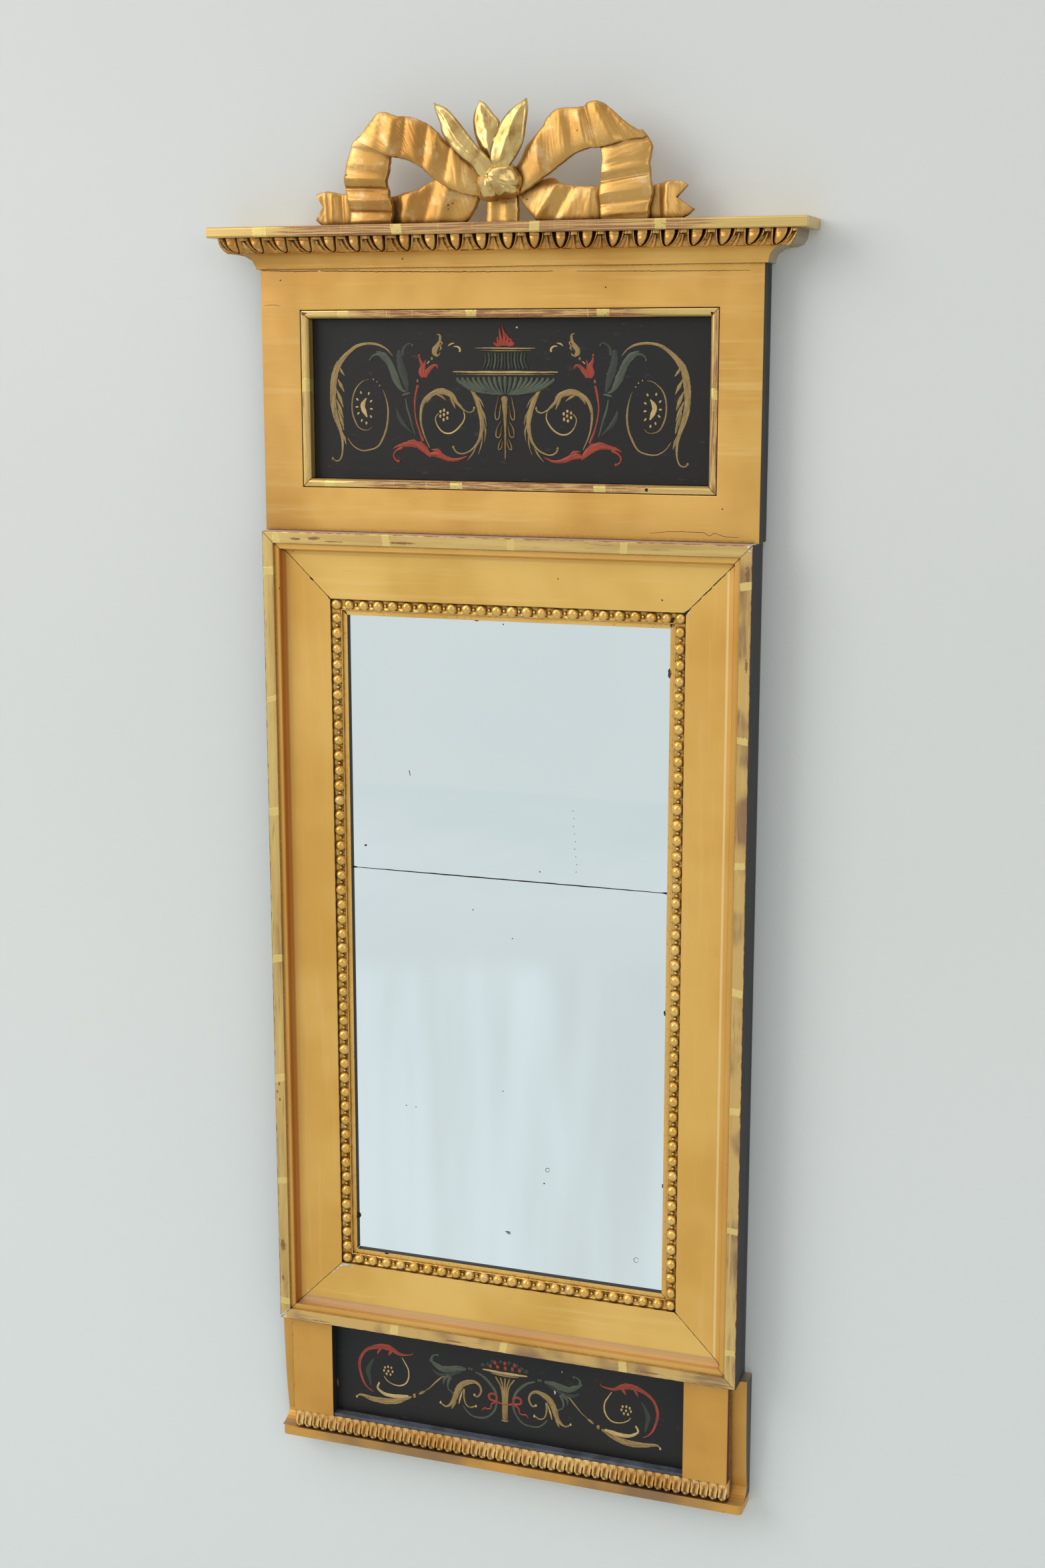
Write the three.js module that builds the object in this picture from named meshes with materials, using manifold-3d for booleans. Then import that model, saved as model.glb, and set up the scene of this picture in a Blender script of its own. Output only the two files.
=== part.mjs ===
// A small trumeau mirror: gilded pine frame with a carved ribbon bow, an egg-and-dart cornice, a painted
// frieze, two plates of old glass inside bead strips, and a plinth with leaf tips.
// Millimetres, +Z up, +X to the right. The wall is the plane y = 0 and the front looks along -Y, so a
// "reach" below is a distance out from the wall. Heights count from the bottom of the main frame.

import * as THREE from 'three';
import { mergeVertices } from 'three/addons/utils/BufferGeometryUtils.js';
import Module from 'manifold-3d';

const wasm = await Module();
wasm.setup();

// Clearances
const mitreGap = 0.3;         // open joint between two mitred lengths
const seatGap = 0.3;          // carved, turned or loose pieces to what carries them

// Main frame
const frameWidth = 300;
const frameHeight = 504;
const frameReach = 26;        // face of the outer fillet
const carcassReach = 12;      // back of the mouldings, front of the carcass
const filletWidth = 7;
const filletRound = 0.8;
const filletStep = 1.8;       // drop from the fillet to the narrow one beside it
const narrowFilletWidth = 3.5;
const coveWidth = 3.5;
const flatReach = 18.6;       // the flat where it leaves the cove
const flatFall = 1.3;         // how far the flat dips towards the glass
const beadBedInset = 40;      // outer edge of the ledge that the beads lie on
const beadBedReach = 14.3;
const beadBedWidth = 9.7;     // from there in to the edge of the visible glass

// Bead strips
const beadStripWidth = 6.6;
const beadStripThickness = 1.2;
const beadPitch = 9.3;
const beadRadius = 3.15;
const beadRise = 3.6;         // from the ledge to the top of a bead

// Carcass and glass
const carcassSetBack = 0.4;   // carcass sides inside the frame's outer edge
const carcassStileWidth = 42;
const carcassRailReach = 6;   // back face of the cross rails, in front of the wall
const glassThickness = 2.5;
const glassPlay = 0.5;        // glass edge to carcass
const glassSeam = frameHeight - 205.3;    // height where the two plates meet
const backboardThickness = 3;

// Frieze
const friezeWidth = frameWidth + 2.6;
const friezeReach = 17;
const plankThickness = 8.5;
const fieldWidth = friezeWidth - 47;      // sunk field in the middle of the frieze
const fieldHeight = 105.4;
const fieldRise = 24.6;       // from the foot of the frieze to the field
const quirk = 1.6;            // open groove round the panel moulding
const panelMouldingWidth = 4.7;
const panelThickness = 1.5;

// Cornice
const corniceRise = 152;      // from the foot of the frieze to the foot of the cavetto
const cavettoHeight = 8.5;
const cavettoFillet = 1.5;
const cavettoOut = 8;
const ovoloHeight = 9;
const ovoloFootOut = 10.5;
const ovoloTopOut = 13.5;
const returnRatio = 1.5;      // the ends stand out this much more than the front
const eggCount = 22;
const topBoardThickness = 6;
const topBoardOverhang = 26.2;
const topBoardReach = 34;

// Plinth
const plinthWidth = frameWidth - 11.4;    // across the two blocks
const plinthHeight = 79;
const plinthReach = 20;
const blockWidth = 27.7;
const sillHeight = 2;
const leafTipHeight = 13;
const leafTipCount = 50;
const leafTipReach = 20.5;
const wingWidth = 9.7;
const wingReach = 13;
const wingHollowReach = 7.2;
const baseThickness = 6;
const baseWidth = frameWidth + 7;
const baseReach = 18.8;
const baseCorner = 3;

// Hanging ring
const ringHeight = frameHeight - 23;      // height of its hinge line
const ringReach = 4;
const ringRadius = 9;
const ringWire = 1.5;
const stapleWire = 1;
const stapleLegDepth = 4;

// Crest
const crestBack = 12;         // reach of the carving's back
const ribbonThickness = 5;
const knotRadius = 13;
const knotCentre = -0.5;      // the knot sits a hair to the left
const knotRise = 22;          // above the cornice
const postWidth = 19;

// Sizes that follow
const sightInset = beadBedInset + beadBedWidth;
const friezeHeight = corniceRise + cavettoHeight + ovoloHeight;   // the plank runs up to the top board
const corniceFoot = frameHeight + corniceRise;
const ovoloFoot = corniceFoot + cavettoHeight;
const topBoardFoot = ovoloFoot + ovoloHeight;
const corniceTop = topBoardFoot + topBoardThickness;
const fieldFoot = frameHeight + fieldRise;
const fieldMiddle = fieldFoot + fieldHeight / 2;
const wallFaceHeight = frameHeight + friezeHeight / 2;

const finishes = {
  mattGold: { color: 0xd0a553, roughness: 0.5, metalness: 0.6 },
  burnishedGold: { color: 0xe0c987, roughness: 0.25, metalness: 0.8 },
  blackGround: { color: 0x26282a, roughness: 0.6, metalness: 0 },
  barePine: { color: 0x6e655a, roughness: 0.9, metalness: 0 },
  darkWash: { color: 0x4a4a48, roughness: 0.8, metalness: 0 },
  mercuryGlass: { color: 0xc9d2d2, roughness: 0.08, metalness: 1 },
  iron: { color: 0x3b3734, roughness: 0.7, metalness: 0.8 },
};

const mirror = new THREE.Group();
const body = new THREE.Group();
body.position.z = -wallFaceHeight;      // the origin is the middle of the frieze plank's back
mirror.add(body);

function addPiece(name, geometry, finish) {
  const mesh = new THREE.Mesh(geometry, new THREE.MeshStandardMaterial(finishes[finish]));
  mesh.name = name;
  body.add(mesh);
  return mesh;
}

// Only the positions, with shared corners merged
function bare(geometry) {
  const copy = geometry.clone();
  copy.deleteAttribute('normal');
  copy.deleteAttribute('uv');
  return mergeVertices(copy, 1e-4);
}

function toSolid(geometry) {
  const merged = bare(geometry);
  const vertProperties = new Float32Array(merged.attributes.position.array);
  const triVerts = new Uint32Array(merged.index.array);
  return new wasm.Manifold(new wasm.Mesh({ numProp: 3, vertProperties, triVerts }));
}

function fromSolid(solid) {
  const mesh = solid.getMesh();
  const geometry = new THREE.BufferGeometry();
  geometry.setAttribute('position', new THREE.BufferAttribute(mesh.vertProperties, 3));
  geometry.setIndex(new THREE.BufferAttribute(mesh.triVerts, 1));
  return geometry;
}

// Moves every corner of a geometry by a rule
function reshape(geometry, rule) {
  const shaped = bare(geometry);
  const place = shaped.attributes.position;
  const point = new THREE.Vector3();
  for (let i = 0; i < place.count; i += 1) {
    point.fromBufferAttribute(place, i);
    rule(point);
    place.setXYZ(i, point.x, point.y, point.z);
  }
  return shaped;
}

function turnedInsideOut(geometry) {
  const turned = bare(geometry);
  const order = turned.index.array;
  for (let i = 0; i < order.length; i += 3) {
    [order[i], order[i + 1]] = [order[i + 1], order[i]];
  }
  return turned;
}

function mirrored(geometry) {
  return turnedInsideOut(reshape(geometry, (p) => p.setX(-p.x)));
}

// A square-edged piece from its extents; the y extents are reaches from the wall
function block([left, right], [backReach, frontReach], [foot, top]) {
  const geometry = new THREE.BoxGeometry(right - left, frontReach - backReach, top - foot);
  geometry.translate((left + right) / 2, -(backReach + frontReach) / 2, (foot + top) / 2);
  return geometry;
}

// A shape drawn as (reach or inset, height) run along one line; the ends stay square
function outline(corners) {
  return new THREE.Shape(corners.map(([u, v]) => new THREE.Vector2(u, v)));
}

function run(shape, steps = 1, curveSegments = 3) {
  return new THREE.ExtrudeGeometry(shape, { depth: 1, steps, curveSegments, bevelEnabled: false });
}

// A closed solid through rings of points, with both ends closed by a fan
function loft(rings) {
  const size = rings[0].length;
  const points = rings.flat();
  const faces = [];
  for (let r = 0; r < rings.length - 1; r += 1) {
    for (let i = 0; i < size; i += 1) {
      const a = r * size + i;
      const b = r * size + ((i + 1) % size);
      faces.push(a, b, b + size, a, b + size, a + size);
    }
  }
  for (const [start, ring] of [[0, rings[0]], [(rings.length - 1) * size, rings.at(-1)]]) {
    const middle = new THREE.Vector3();
    ring.forEach((p) => middle.addScaledVector(p, 1 / size));
    points.push(middle);
    const hub = points.length - 1;
    for (let i = 0; i < size; i += 1) {
      const a = start + i;
      const b = start + ((i + 1) % size);
      faces.push(...(start === 0 ? [hub, b, a] : [hub, a, b]));
    }
  }
  const geometry = new THREE.BufferGeometry().setFromPoints(points);
  geometry.setIndex(faces);
  let volume = 0;
  for (let i = 0; i < faces.length; i += 3) {
    const [a, b, c] = [points[faces[i]], points[faces[i + 1]], points[faces[i + 2]]];
    volume += a.dot(b.clone().cross(c));
  }
  return volume > 0 ? geometry : turnedInsideOut(geometry);
}

// One mitred length of a frame: the shape is (inset from the outer edge, reach), the length lies along X
// with its outer edge at z = 0 and the insets going down
function mitredLength(shape, length, curveSegments = 3) {
  const half = length / 2;
  return reshape(run(shape, 1, curveSegments), (p) => {
    const side = p.z < 0.5 ? 1 : -1;
    const inset = p.x;
    p.set(side * (half - inset - mitreGap / 2), -p.y, -inset);
  });
}

// Four sides of a frame: where each one's outer edge lies and how it is turned
function fourSides(width, height, middle) {
  return {
    top: { length: width, turn: 0, at: [0, 0, middle + height / 2] },
    bottom: { length: width, turn: Math.PI, at: [0, 0, middle - height / 2] },
    left: { length: height, turn: -Math.PI / 2, at: [-width / 2, 0, middle] },
    right: { length: height, turn: Math.PI / 2, at: [width / 2, 0, middle] },
  };
}

function placeSide(geometry, { turn, at }) {
  geometry.rotateY(turn);
  geometry.translate(...at);
  return geometry;
}

// Main frame: fillet, narrow fillet, cove, flat, bead ledge
function frameShape() {
  const narrowFace = frameReach - filletStep;
  const coveStart = filletWidth + narrowFilletWidth;
  const shape = new THREE.Shape();
  shape.moveTo(0, carcassReach);
  shape.lineTo(0, frameReach - filletRound);
  shape.quadraticCurveTo(0, frameReach, filletRound, frameReach);
  shape.lineTo(filletWidth, frameReach);
  shape.lineTo(filletWidth, narrowFace);
  shape.lineTo(coveStart, narrowFace);
  shape.quadraticCurveTo(coveStart, flatReach, coveStart + coveWidth, flatReach);
  shape.lineTo(beadBedInset, flatReach - flatFall);
  shape.lineTo(beadBedInset, beadBedReach);
  shape.lineTo(sightInset, beadBedReach);
  shape.lineTo(sightInset, carcassReach);
  return shape;
}

function buildMainFrame() {
  const names = { top: 'frame_rail_top', bottom: 'frame_rail_bottom',
    left: 'frame_stile_left', right: 'frame_stile_right' };
  const sides = fourSides(frameWidth, frameHeight, frameHeight / 2);
  for (const [key, side] of Object.entries(sides)) {
    addPiece(names[key], placeSide(mitredLength(frameShape(), side.length), side), 'mattGold');
  }
}

// Bead strips: a thin strip with a row of turned beads let into it, as many as fit the length
function beadStrip(length) {
  const top = beadBedReach + beadStripThickness;
  const strip = mitredLength(outline([
    [0, beadBedReach], [0, top], [beadStripWidth, top], [beadStripWidth, beadBedReach],
  ]), length);
  const rowLength = length - 2 * beadStripWidth;
  const count = Math.floor(rowLength / beadPitch);
  const pitch = rowLength / count;
  let solid = toSolid(strip);
  for (let i = 0; i < count; i += 1) {
    const bead = new THREE.SphereGeometry(beadRadius, 8, 4, 0, 2 * Math.PI, 0, Math.PI);
    bead.rotateX(Math.PI / 2);
    bead.scale(1, (beadRise - beadStripThickness / 2) / beadRadius, 1);
    const along = -rowLength / 2 + (i + 0.5) * pitch;
    bead.translate(along, -(beadBedReach + beadStripThickness / 2), -beadStripWidth / 2);
    solid = solid.add(toSolid(bead));
  }
  const bed = block([-length, length], [beadBedReach - beadRise, beadBedReach], [-length, length]);
  return fromSolid(solid.subtract(toSolid(bed)));
}

function buildBeadStrips() {
  const inset = beadBedInset + seatGap / 2;
  const sides = fourSides(frameWidth - 2 * inset, frameHeight - 2 * inset, frameHeight / 2);
  for (const [key, side] of Object.entries(sides)) {
    addPiece(`bead_strip_${key}`, placeSide(beadStrip(side.length), side), 'mattGold');
  }
}

// Carcass: two stiles the full height and two thinner cross rails, open behind
function buildCarcass() {
  const outer = frameWidth / 2 - carcassSetBack;
  const inner = frameWidth / 2 - carcassStileWidth;
  const railSpan = [-inner, inner];
  const railDepth = [carcassRailReach, carcassReach];
  const stileDepth = [0, carcassReach];
  addPiece('carcass_stile_left', block([-outer, -inner], stileDepth, [0, frameHeight]), 'darkWash');
  addPiece('carcass_stile_right', block([inner, outer], stileDepth, [0, frameHeight]), 'darkWash');
  addPiece('carcass_rail_bottom', block(railSpan, railDepth, [0, carcassStileWidth]), 'barePine');
  let railTop = toSolid(block(railSpan, railDepth, [frameHeight - carcassStileWidth, frameHeight]));
  for (const legHeight of stapleLegHeights()) {
    const bore = new THREE.CylinderGeometry(stapleWire + seatGap, stapleWire + seatGap, 2 * stapleLegDepth, 8);
    bore.translate(0, -carcassRailReach + seatGap, legHeight);
    railTop = railTop.subtract(toSolid(bore));
  }
  addPiece('carcass_rail_top', fromSolid(railTop), 'barePine');
}

// Two plates of glass against the back of the mouldings, and the pine board behind them
function buildGlass() {
  const half = frameWidth / 2 - carcassStileWidth - glassPlay;
  const across = [-half, half];
  const foot = carcassStileWidth + glassPlay;
  const top = frameHeight - carcassStileWidth - glassPlay;
  const plateDepth = [carcassReach - glassThickness, carcassReach];
  addPiece('glass_upper', block(across, plateDepth, [glassSeam + seatGap / 2, top]), 'mercuryGlass');
  addPiece('glass_lower', block(across, plateDepth, [foot, glassSeam - seatGap / 2]), 'mercuryGlass');
  const boardFront = carcassReach - glassThickness - seatGap;
  const boardDepth = [boardFront - backboardThickness, boardFront];
  addPiece('backboard', block(across, boardDepth, [foot, top]), 'barePine');
}

// Frieze: a plank, four planted borders round a sunk field, a painted panel and its moulding
function buildFrieze() {
  const half = friezeWidth / 2;
  const fieldHalf = fieldWidth / 2;
  const fieldTop = fieldFoot + fieldHeight;
  const plankTop = frameHeight + friezeHeight;
  const border = [plankThickness, friezeReach];
  addPiece('frieze_board', block([-half, half], [0, plankThickness], [frameHeight, plankTop]), 'darkWash');
  addPiece('frieze_border_bottom', block([-half, half], border, [frameHeight, fieldFoot]), 'mattGold');
  addPiece('frieze_border_top', block([-half, half], border, [fieldTop, plankTop]), 'mattGold');
  addPiece('frieze_border_left', block([-half, -fieldHalf], border, [fieldFoot, fieldTop]), 'mattGold');
  addPiece('frieze_border_right', block([fieldHalf, half], border, [fieldFoot, fieldTop]), 'mattGold');

  const moulding = new THREE.Shape();
  moulding.moveTo(0, plankThickness);
  moulding.lineTo(0, friezeReach - 1);
  moulding.quadraticCurveTo(0, friezeReach, 1, friezeReach);
  moulding.lineTo(panelMouldingWidth - 2, friezeReach);
  moulding.quadraticCurveTo(panelMouldingWidth - 1, friezeReach, panelMouldingWidth, friezeReach - 1.6);
  moulding.lineTo(panelMouldingWidth, plankThickness);
  const sides = fourSides(fieldWidth - 2 * quirk, fieldHeight - 2 * quirk, fieldMiddle);
  for (const [key, side] of Object.entries(sides)) {
    addPiece(`frieze_moulding_${key}`, placeSide(mitredLength(moulding, side.length, 2), side), 'burnishedGold');
  }

  const panelInset = quirk + panelMouldingWidth + seatGap;
  const panelHalf = fieldHalf - panelInset;
  addPiece('frieze_panel', block([-panelHalf, panelHalf], [plankThickness, plankThickness + panelThickness],
    [fieldFoot + panelInset, fieldTop - panelInset]), 'blackGround');
}

// Cornice mouldings: the shape is (distance out from the frieze, height). The front length is mitred to
// two plain returns that run back to the wall.
function corniceFront(shape, steps, carve) {
  const half = friezeWidth / 2;
  return reshape(run(shape, steps), (p) => {
    const along = 1 - 2 * p.z;
    const out = p.x;
    const height = p.y;
    const carved = carve ? carve(along, out, height) : out;
    p.set(along * (half + returnRatio * carved - mitreGap / 2), -(friezeReach + carved), height);
  });
}

function corniceReturn(shape) {
  const half = friezeWidth / 2;
  return reshape(run(shape), (p) => {
    const out = p.x;
    const end = friezeReach + out - mitreGap / 2;
    p.set(half + returnRatio * out, p.z < 0.5 ? 0 : -end, p.y);
  });
}

function addReturns(name, shape) {
  const right = corniceReturn(shape);
  addPiece(`${name}_right`, right, 'barePine');
  addPiece(`${name}_left`, mirrored(right), 'barePine');
}

function cavettoShape() {
  const shape = new THREE.Shape();
  shape.moveTo(0, corniceFoot);
  shape.lineTo(cavettoFillet, corniceFoot);
  shape.lineTo(cavettoFillet, corniceFoot + cavettoFillet);
  shape.quadraticCurveTo(cavettoFillet + 0.8, ovoloFoot - 1, cavettoOut, ovoloFoot);
  shape.lineTo(0, ovoloFoot);
  return shape;
}

function ovoloShape() {
  const shape = new THREE.Shape();
  shape.moveTo(0, ovoloFoot);
  shape.lineTo(ovoloFootOut - 1, ovoloFoot);
  shape.quadraticCurveTo(ovoloTopOut, ovoloFoot + 1, ovoloTopOut, topBoardFoot);
  shape.lineTo(0, topBoardFoot);
  return shape;
}

// Eggs stand proud, a deep cut runs round each, and a dart rises between two cuts
function carveEggs(along, out, height) {
  if (out < ovoloFootOut - 2) {
    return out;
  }
  const phase = Math.abs(((((along + 1) / 2) * eggCount) % 1) - 0.5);
  const level = (height - ovoloFoot) / ovoloHeight;
  const eggHalf = 0.24 + 0.08 * level;
  if (phase < eggHalf) {
    return out + 1.3 * Math.sqrt(1 - (phase / eggHalf) ** 2) * (0.5 + 0.5 * level);
  }
  const cut = 3.2 * (0.35 + 0.65 * level);
  return phase < 0.42 ? out - cut : out - 0.3 * cut;
}

function buildCornice() {
  const cavetto = cavettoShape();
  addPiece('cavetto_front', corniceFront(cavetto, 1), 'mattGold');
  addReturns('cavetto_return', cavetto);

  const ovolo = ovoloShape();
  const stepsPerEgg = 6;
  addPiece('egg_and_dart', corniceFront(ovolo, eggCount * stepsPerEgg, carveEggs), 'mattGold');
  addReturns('ovolo_return', ovolo);

  const half = friezeWidth / 2 + topBoardOverhang;
  const edge = outline([
    [0, topBoardFoot], [topBoardReach - filletRound, topBoardFoot],
    [topBoardReach, topBoardFoot + filletRound], [topBoardReach, corniceTop - filletRound],
    [topBoardReach - filletRound, corniceTop], [0, corniceTop],
  ]);
  addPiece('cornice_top_board', reshape(run(edge), (p) => {
    p.set(half * (1 - 2 * p.z), -p.x, p.y);
  }), 'burnishedGold');
}

// Plinth: board, blocks, painted panel, sill, leaf tips, hollow wings and base board
function carveLeafTips(along, reach, height) {
  const phase = Math.abs(((((along + 1) / 2) * leafTipCount) % 1) - 0.5) * 2;
  const level = (height + plinthHeight) / leafTipHeight;
  return reach - 2.6 * phase ** 2 * (1 - 0.55 * level);
}

function leafTips() {
  const foot = -plinthHeight;
  const backReach = carcassReach;
  const face = [
    [leafTipReach - 3.2, foot], [leafTipReach - 1, foot + 2.5], [leafTipReach - 0.8, foot + 8],
    [leafTipReach, foot + 11.5], [leafTipReach - 1, foot + leafTipHeight],
  ];
  const shape = outline([[backReach, foot], ...face, [backReach, foot + leafTipHeight]]);
  const half = plinthWidth / 2;
  const stepsPerTip = 4;
  return reshape(run(shape, leafTipCount * stepsPerTip), (p) => {
    const along = 1 - 2 * p.z;
    const carved = p.x > backReach + 1 ? carveLeafTips(along, p.x, p.y) : p.x;
    p.set(along * half, -carved, p.y);
  });
}

function wingShape() {
  const foot = -plinthHeight;
  const shape = new THREE.Shape();
  shape.moveTo(0, 0);
  shape.lineTo(0, foot);
  shape.lineTo(baseReach - 1, foot);
  shape.quadraticCurveTo(wingHollowReach + 0.5, foot + 2, wingHollowReach, foot + 7);
  shape.quadraticCurveTo(wingReach - 1.5, foot + 28, wingReach, 0);
  return shape;
}

function buildPlinth() {
  const half = plinthWidth / 2;
  const panelHalf = half - blockWidth;
  const foot = -plinthHeight;
  const leafTop = foot + leafTipHeight;
  const facing = [carcassReach, plinthReach];
  addPiece('plinth_board', block([-half, half], [0, carcassReach], [foot, 0]), 'barePine');
  addPiece('plinth_block_left', block([-half, -panelHalf], facing, [leafTop, 0]), 'mattGold');
  addPiece('plinth_block_right', block([panelHalf, half], facing, [leafTop, 0]), 'mattGold');
  addPiece('plinth_panel', block([-panelHalf, panelHalf], [carcassReach, carcassReach + panelThickness],
    [leafTop + sillHeight, 0]), 'blackGround');
  addPiece('plinth_sill', block([-panelHalf, panelHalf], [carcassReach, plinthReach - 1],
    [leafTop, leafTop + sillHeight]), 'blackGround');
  addPiece('leaf_tip_moulding', leafTips(), 'mattGold');

  const wing = reshape(run(wingShape(), 1, 6), (p) => {
    p.set(half + wingWidth * (1 - p.z), -p.x, p.y);
  });
  addPiece('plinth_wing_right', wing, 'mattGold');
  addPiece('plinth_wing_left', mirrored(wing), 'mattGold');

  const plan = new THREE.Shape();
  plan.moveTo(-baseWidth / 2, 0);
  plan.lineTo(-baseWidth / 2, -baseReach + baseCorner);
  plan.absarc(-baseWidth / 2 + baseCorner, -baseReach + baseCorner, baseCorner, Math.PI, 1.5 * Math.PI);
  plan.lineTo(baseWidth / 2 - baseCorner, -baseReach);
  plan.absarc(baseWidth / 2 - baseCorner, -baseReach + baseCorner, baseCorner, 1.5 * Math.PI, 2 * Math.PI);
  plan.lineTo(baseWidth / 2, 0);
  const base = new THREE.ExtrudeGeometry(plan, { depth: baseThickness, curveSegments: 4, bevelEnabled: false });
  base.translate(0, 0, foot - baseThickness);
  addPiece('base_board', base, 'mattGold');
}

// Staple and ring: the staple's legs stand one above the other, so the ring swings up and down in it
function stapleLegHeights() {
  const spread = ringWire + stapleWire + seatGap;
  return [ringHeight - spread, ringHeight + spread];
}

function buildHanger() {
  const [low, high] = stapleLegHeights();
  const crown = ringReach - ringWire - seatGap - stapleWire;
  const legEnd = carcassRailReach + stapleLegDepth - 2 * seatGap;
  const bend = 0.8;
  const path = new THREE.CurvePath();
  const at = (reach, height) => new THREE.Vector3(0, -reach, height);
  path.add(new THREE.LineCurve3(at(legEnd, low), at(crown + bend, low)));
  path.add(new THREE.QuadraticBezierCurve3(at(crown + bend, low), at(crown, low), at(crown, low + bend)));
  path.add(new THREE.LineCurve3(at(crown, low + bend), at(crown, high - bend)));
  path.add(new THREE.QuadraticBezierCurve3(at(crown, high - bend), at(crown, high), at(crown + bend, high)));
  path.add(new THREE.LineCurve3(at(crown + bend, high), at(legEnd, high)));
  const wire = new THREE.Shape();
  wire.absarc(0, 0, stapleWire, 0, 2 * Math.PI);
  const staple = new THREE.ExtrudeGeometry(wire, { steps: 16, curveSegments: 4, extrudePath: path });
  addPiece('hanging_staple', bare(staple), 'iron');

  const ring = new THREE.TorusGeometry(ringRadius, ringWire, 8, 24);
  ring.rotateX(Math.PI / 2);
  ring.translate(0, -ringReach, ringHeight - ringRadius);
  addPiece('hanging_ring', ring, 'iron');
}

// One half of the bow as a folded band: it leaves the knot, rises to the shoulder, folds and falls at the
// side, folds again and runs back to the knot behind itself. Each station is the band's two edges as
// [out, up] from the middle of the cornice's top, with the reach of its face.
const bandStations = [
  { outer: [2, 33], inner: [2, 11], reach: 24 },
  { outer: [13, 41], inner: [17, 14], reach: 24 },
  { outer: [22, 49], inner: [29, 24], reach: 26 },
  { outer: [30, 58], inner: [39, 31], reach: 27 },
  { outer: [45, 61], inner: [47, 36], reach: 26 },
  { outer: [60, 63], inner: [54, 38], reach: 27 },
  { outer: [76, 54], inner: [58, 37], reach: 27 },
  { outer: [88, 42], inner: [60, 31], reach: 26 },
  { outer: [89, 28], inner: [60, 24], reach: 25 },
  { outer: [89, 11], inner: [59, 18], reach: 25 },
  { outer: [84, 0], inner: [58, 17], reach: 23 },
  { outer: [62, 0], inner: [54, 17], reach: 20 },
  { outer: [44, 0], inner: [42, 18], reach: 19 },
  { outer: [29, 0], inner: [33, 21], reach: 18.5 },
  { outer: [17, 8], inner: [24, 24], reach: 18.2 },
];
const pleatDepth = 1.4;
const pleatCount = 9;
const leafBack = 2.6;         // from a leaf's edge line to its flat back
const leafOver = (station) => bandStations[station].reach + seatGap + leafBack;

function ribbonHalf() {
  const at = ([out, up], reach) => new THREE.Vector3(out, -reach, corniceTop + seatGap + up);
  const outer = new THREE.CatmullRomCurve3(bandStations.map((s) => at(s.outer, s.reach)));
  const inner = new THREE.CatmullRomCurve3(bandStations.map((s) => at(s.inner, s.reach)));
  const floor = corniceTop + seatGap;
  const steps = 42;
  const across = 3;
  const rings = [];
  for (let i = 0; i <= steps; i += 1) {
    const t = i / steps;
    const pleat = pleatDepth * (Math.cos(2 * Math.PI * pleatCount * t) - 1) * 0.5;
    const edges = [outer.getPoint(t), inner.getPoint(t)];
    edges.forEach((p) => p.setZ(Math.max(p.z, floor)));
    const ring = [];
    for (let j = 0; j <= across; j += 1) {
      const v = j / across;
      const p = edges[0].clone().lerp(edges[1], v);
      p.y -= pleat * (j === 0 || j === across ? 0.7 : 1);
      ring.push(p);
    }
    const back = [...edges].reverse();
    back.forEach((p) => ring.push(p.setY(p.y + ribbonThickness)));
    rings.push(ring);
  }
  return loft(rings);
}

// Swallow-tail end of the ribbon, seen past the side of the bow
function ribbonTail() {
  const shape = outline([
    [0, 0], [13, 0.5], [22, 4], [12.5, 9.5], [19, 16], [13, 19], [4, 18], [0, 17],
  ]);
  const thickness = ribbonThickness - 1;
  const tail = new THREE.ExtrudeGeometry(shape, { depth: thickness, steps: 1, bevelEnabled: false });
  tail.rotateX(Math.PI / 2);
  tail.translate(89.6, -crestBack - 4, corniceTop + seatGap);
  return tail;
}

// A pointed leaf with a raised rib: [across, up] of its foot and tip, and its face's reach
function crestLeaf({ foot, tip, width, footWidth, reach, bulge }) {
  const start = new THREE.Vector3(foot[0], -reach, corniceTop + foot[1]);
  const end = new THREE.Vector3(tip[0], -reach, corniceTop + tip[1]);
  const side = end.clone().sub(start).normalize().cross(new THREE.Vector3(0, 1, 0));
  const steps = 9;
  const rings = [];
  for (let i = 0; i <= steps; i += 1) {
    const t = i / steps;
    const blade = (width / 2) * Math.max(0, Math.sin(Math.PI * t ** 0.85)) ** 0.9;
    const half = 0.2 + (footWidth / 2) * (1 - t) + blade;
    const middle = start.clone().lerp(end, t);
    const rib = 1.6 * Math.sin(Math.PI * Math.min(0.95, 0.2 + 0.75 * t));
    const lift = bulge * Math.sin(Math.PI * t);
    const corner = (across, out) => middle.clone().addScaledVector(side, across * half)
      .add(new THREE.Vector3(0, -out, 0));
    rings.push([
      corner(-1, lift - 1), corner(-0.5, lift + 0.2 * rib), corner(0, lift + rib),
      corner(0.5, lift + 0.2 * rib), corner(1, lift - 1), corner(0.6, -leafBack), corner(-0.6, -leafBack),
    ]);
  }
  return loft(rings);
}

const crestLeaves = {
  crest_leaf_left: { foot: [-10, 34], tip: [-38, 65], width: 10, footWidth: 8, reach: leafOver(3), bulge: 1.5 },
  crest_leaf_centre: { foot: [-3, 37], tip: [-10, 66], width: 15, footWidth: 2, reach: bandStations[0].reach - 1, bulge: 0.8 },
  crest_leaf_right: { foot: [5, 35], tip: [17, 66], width: 12, footWidth: 8, reach: leafOver(1), bulge: 1.5 },
};

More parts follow.
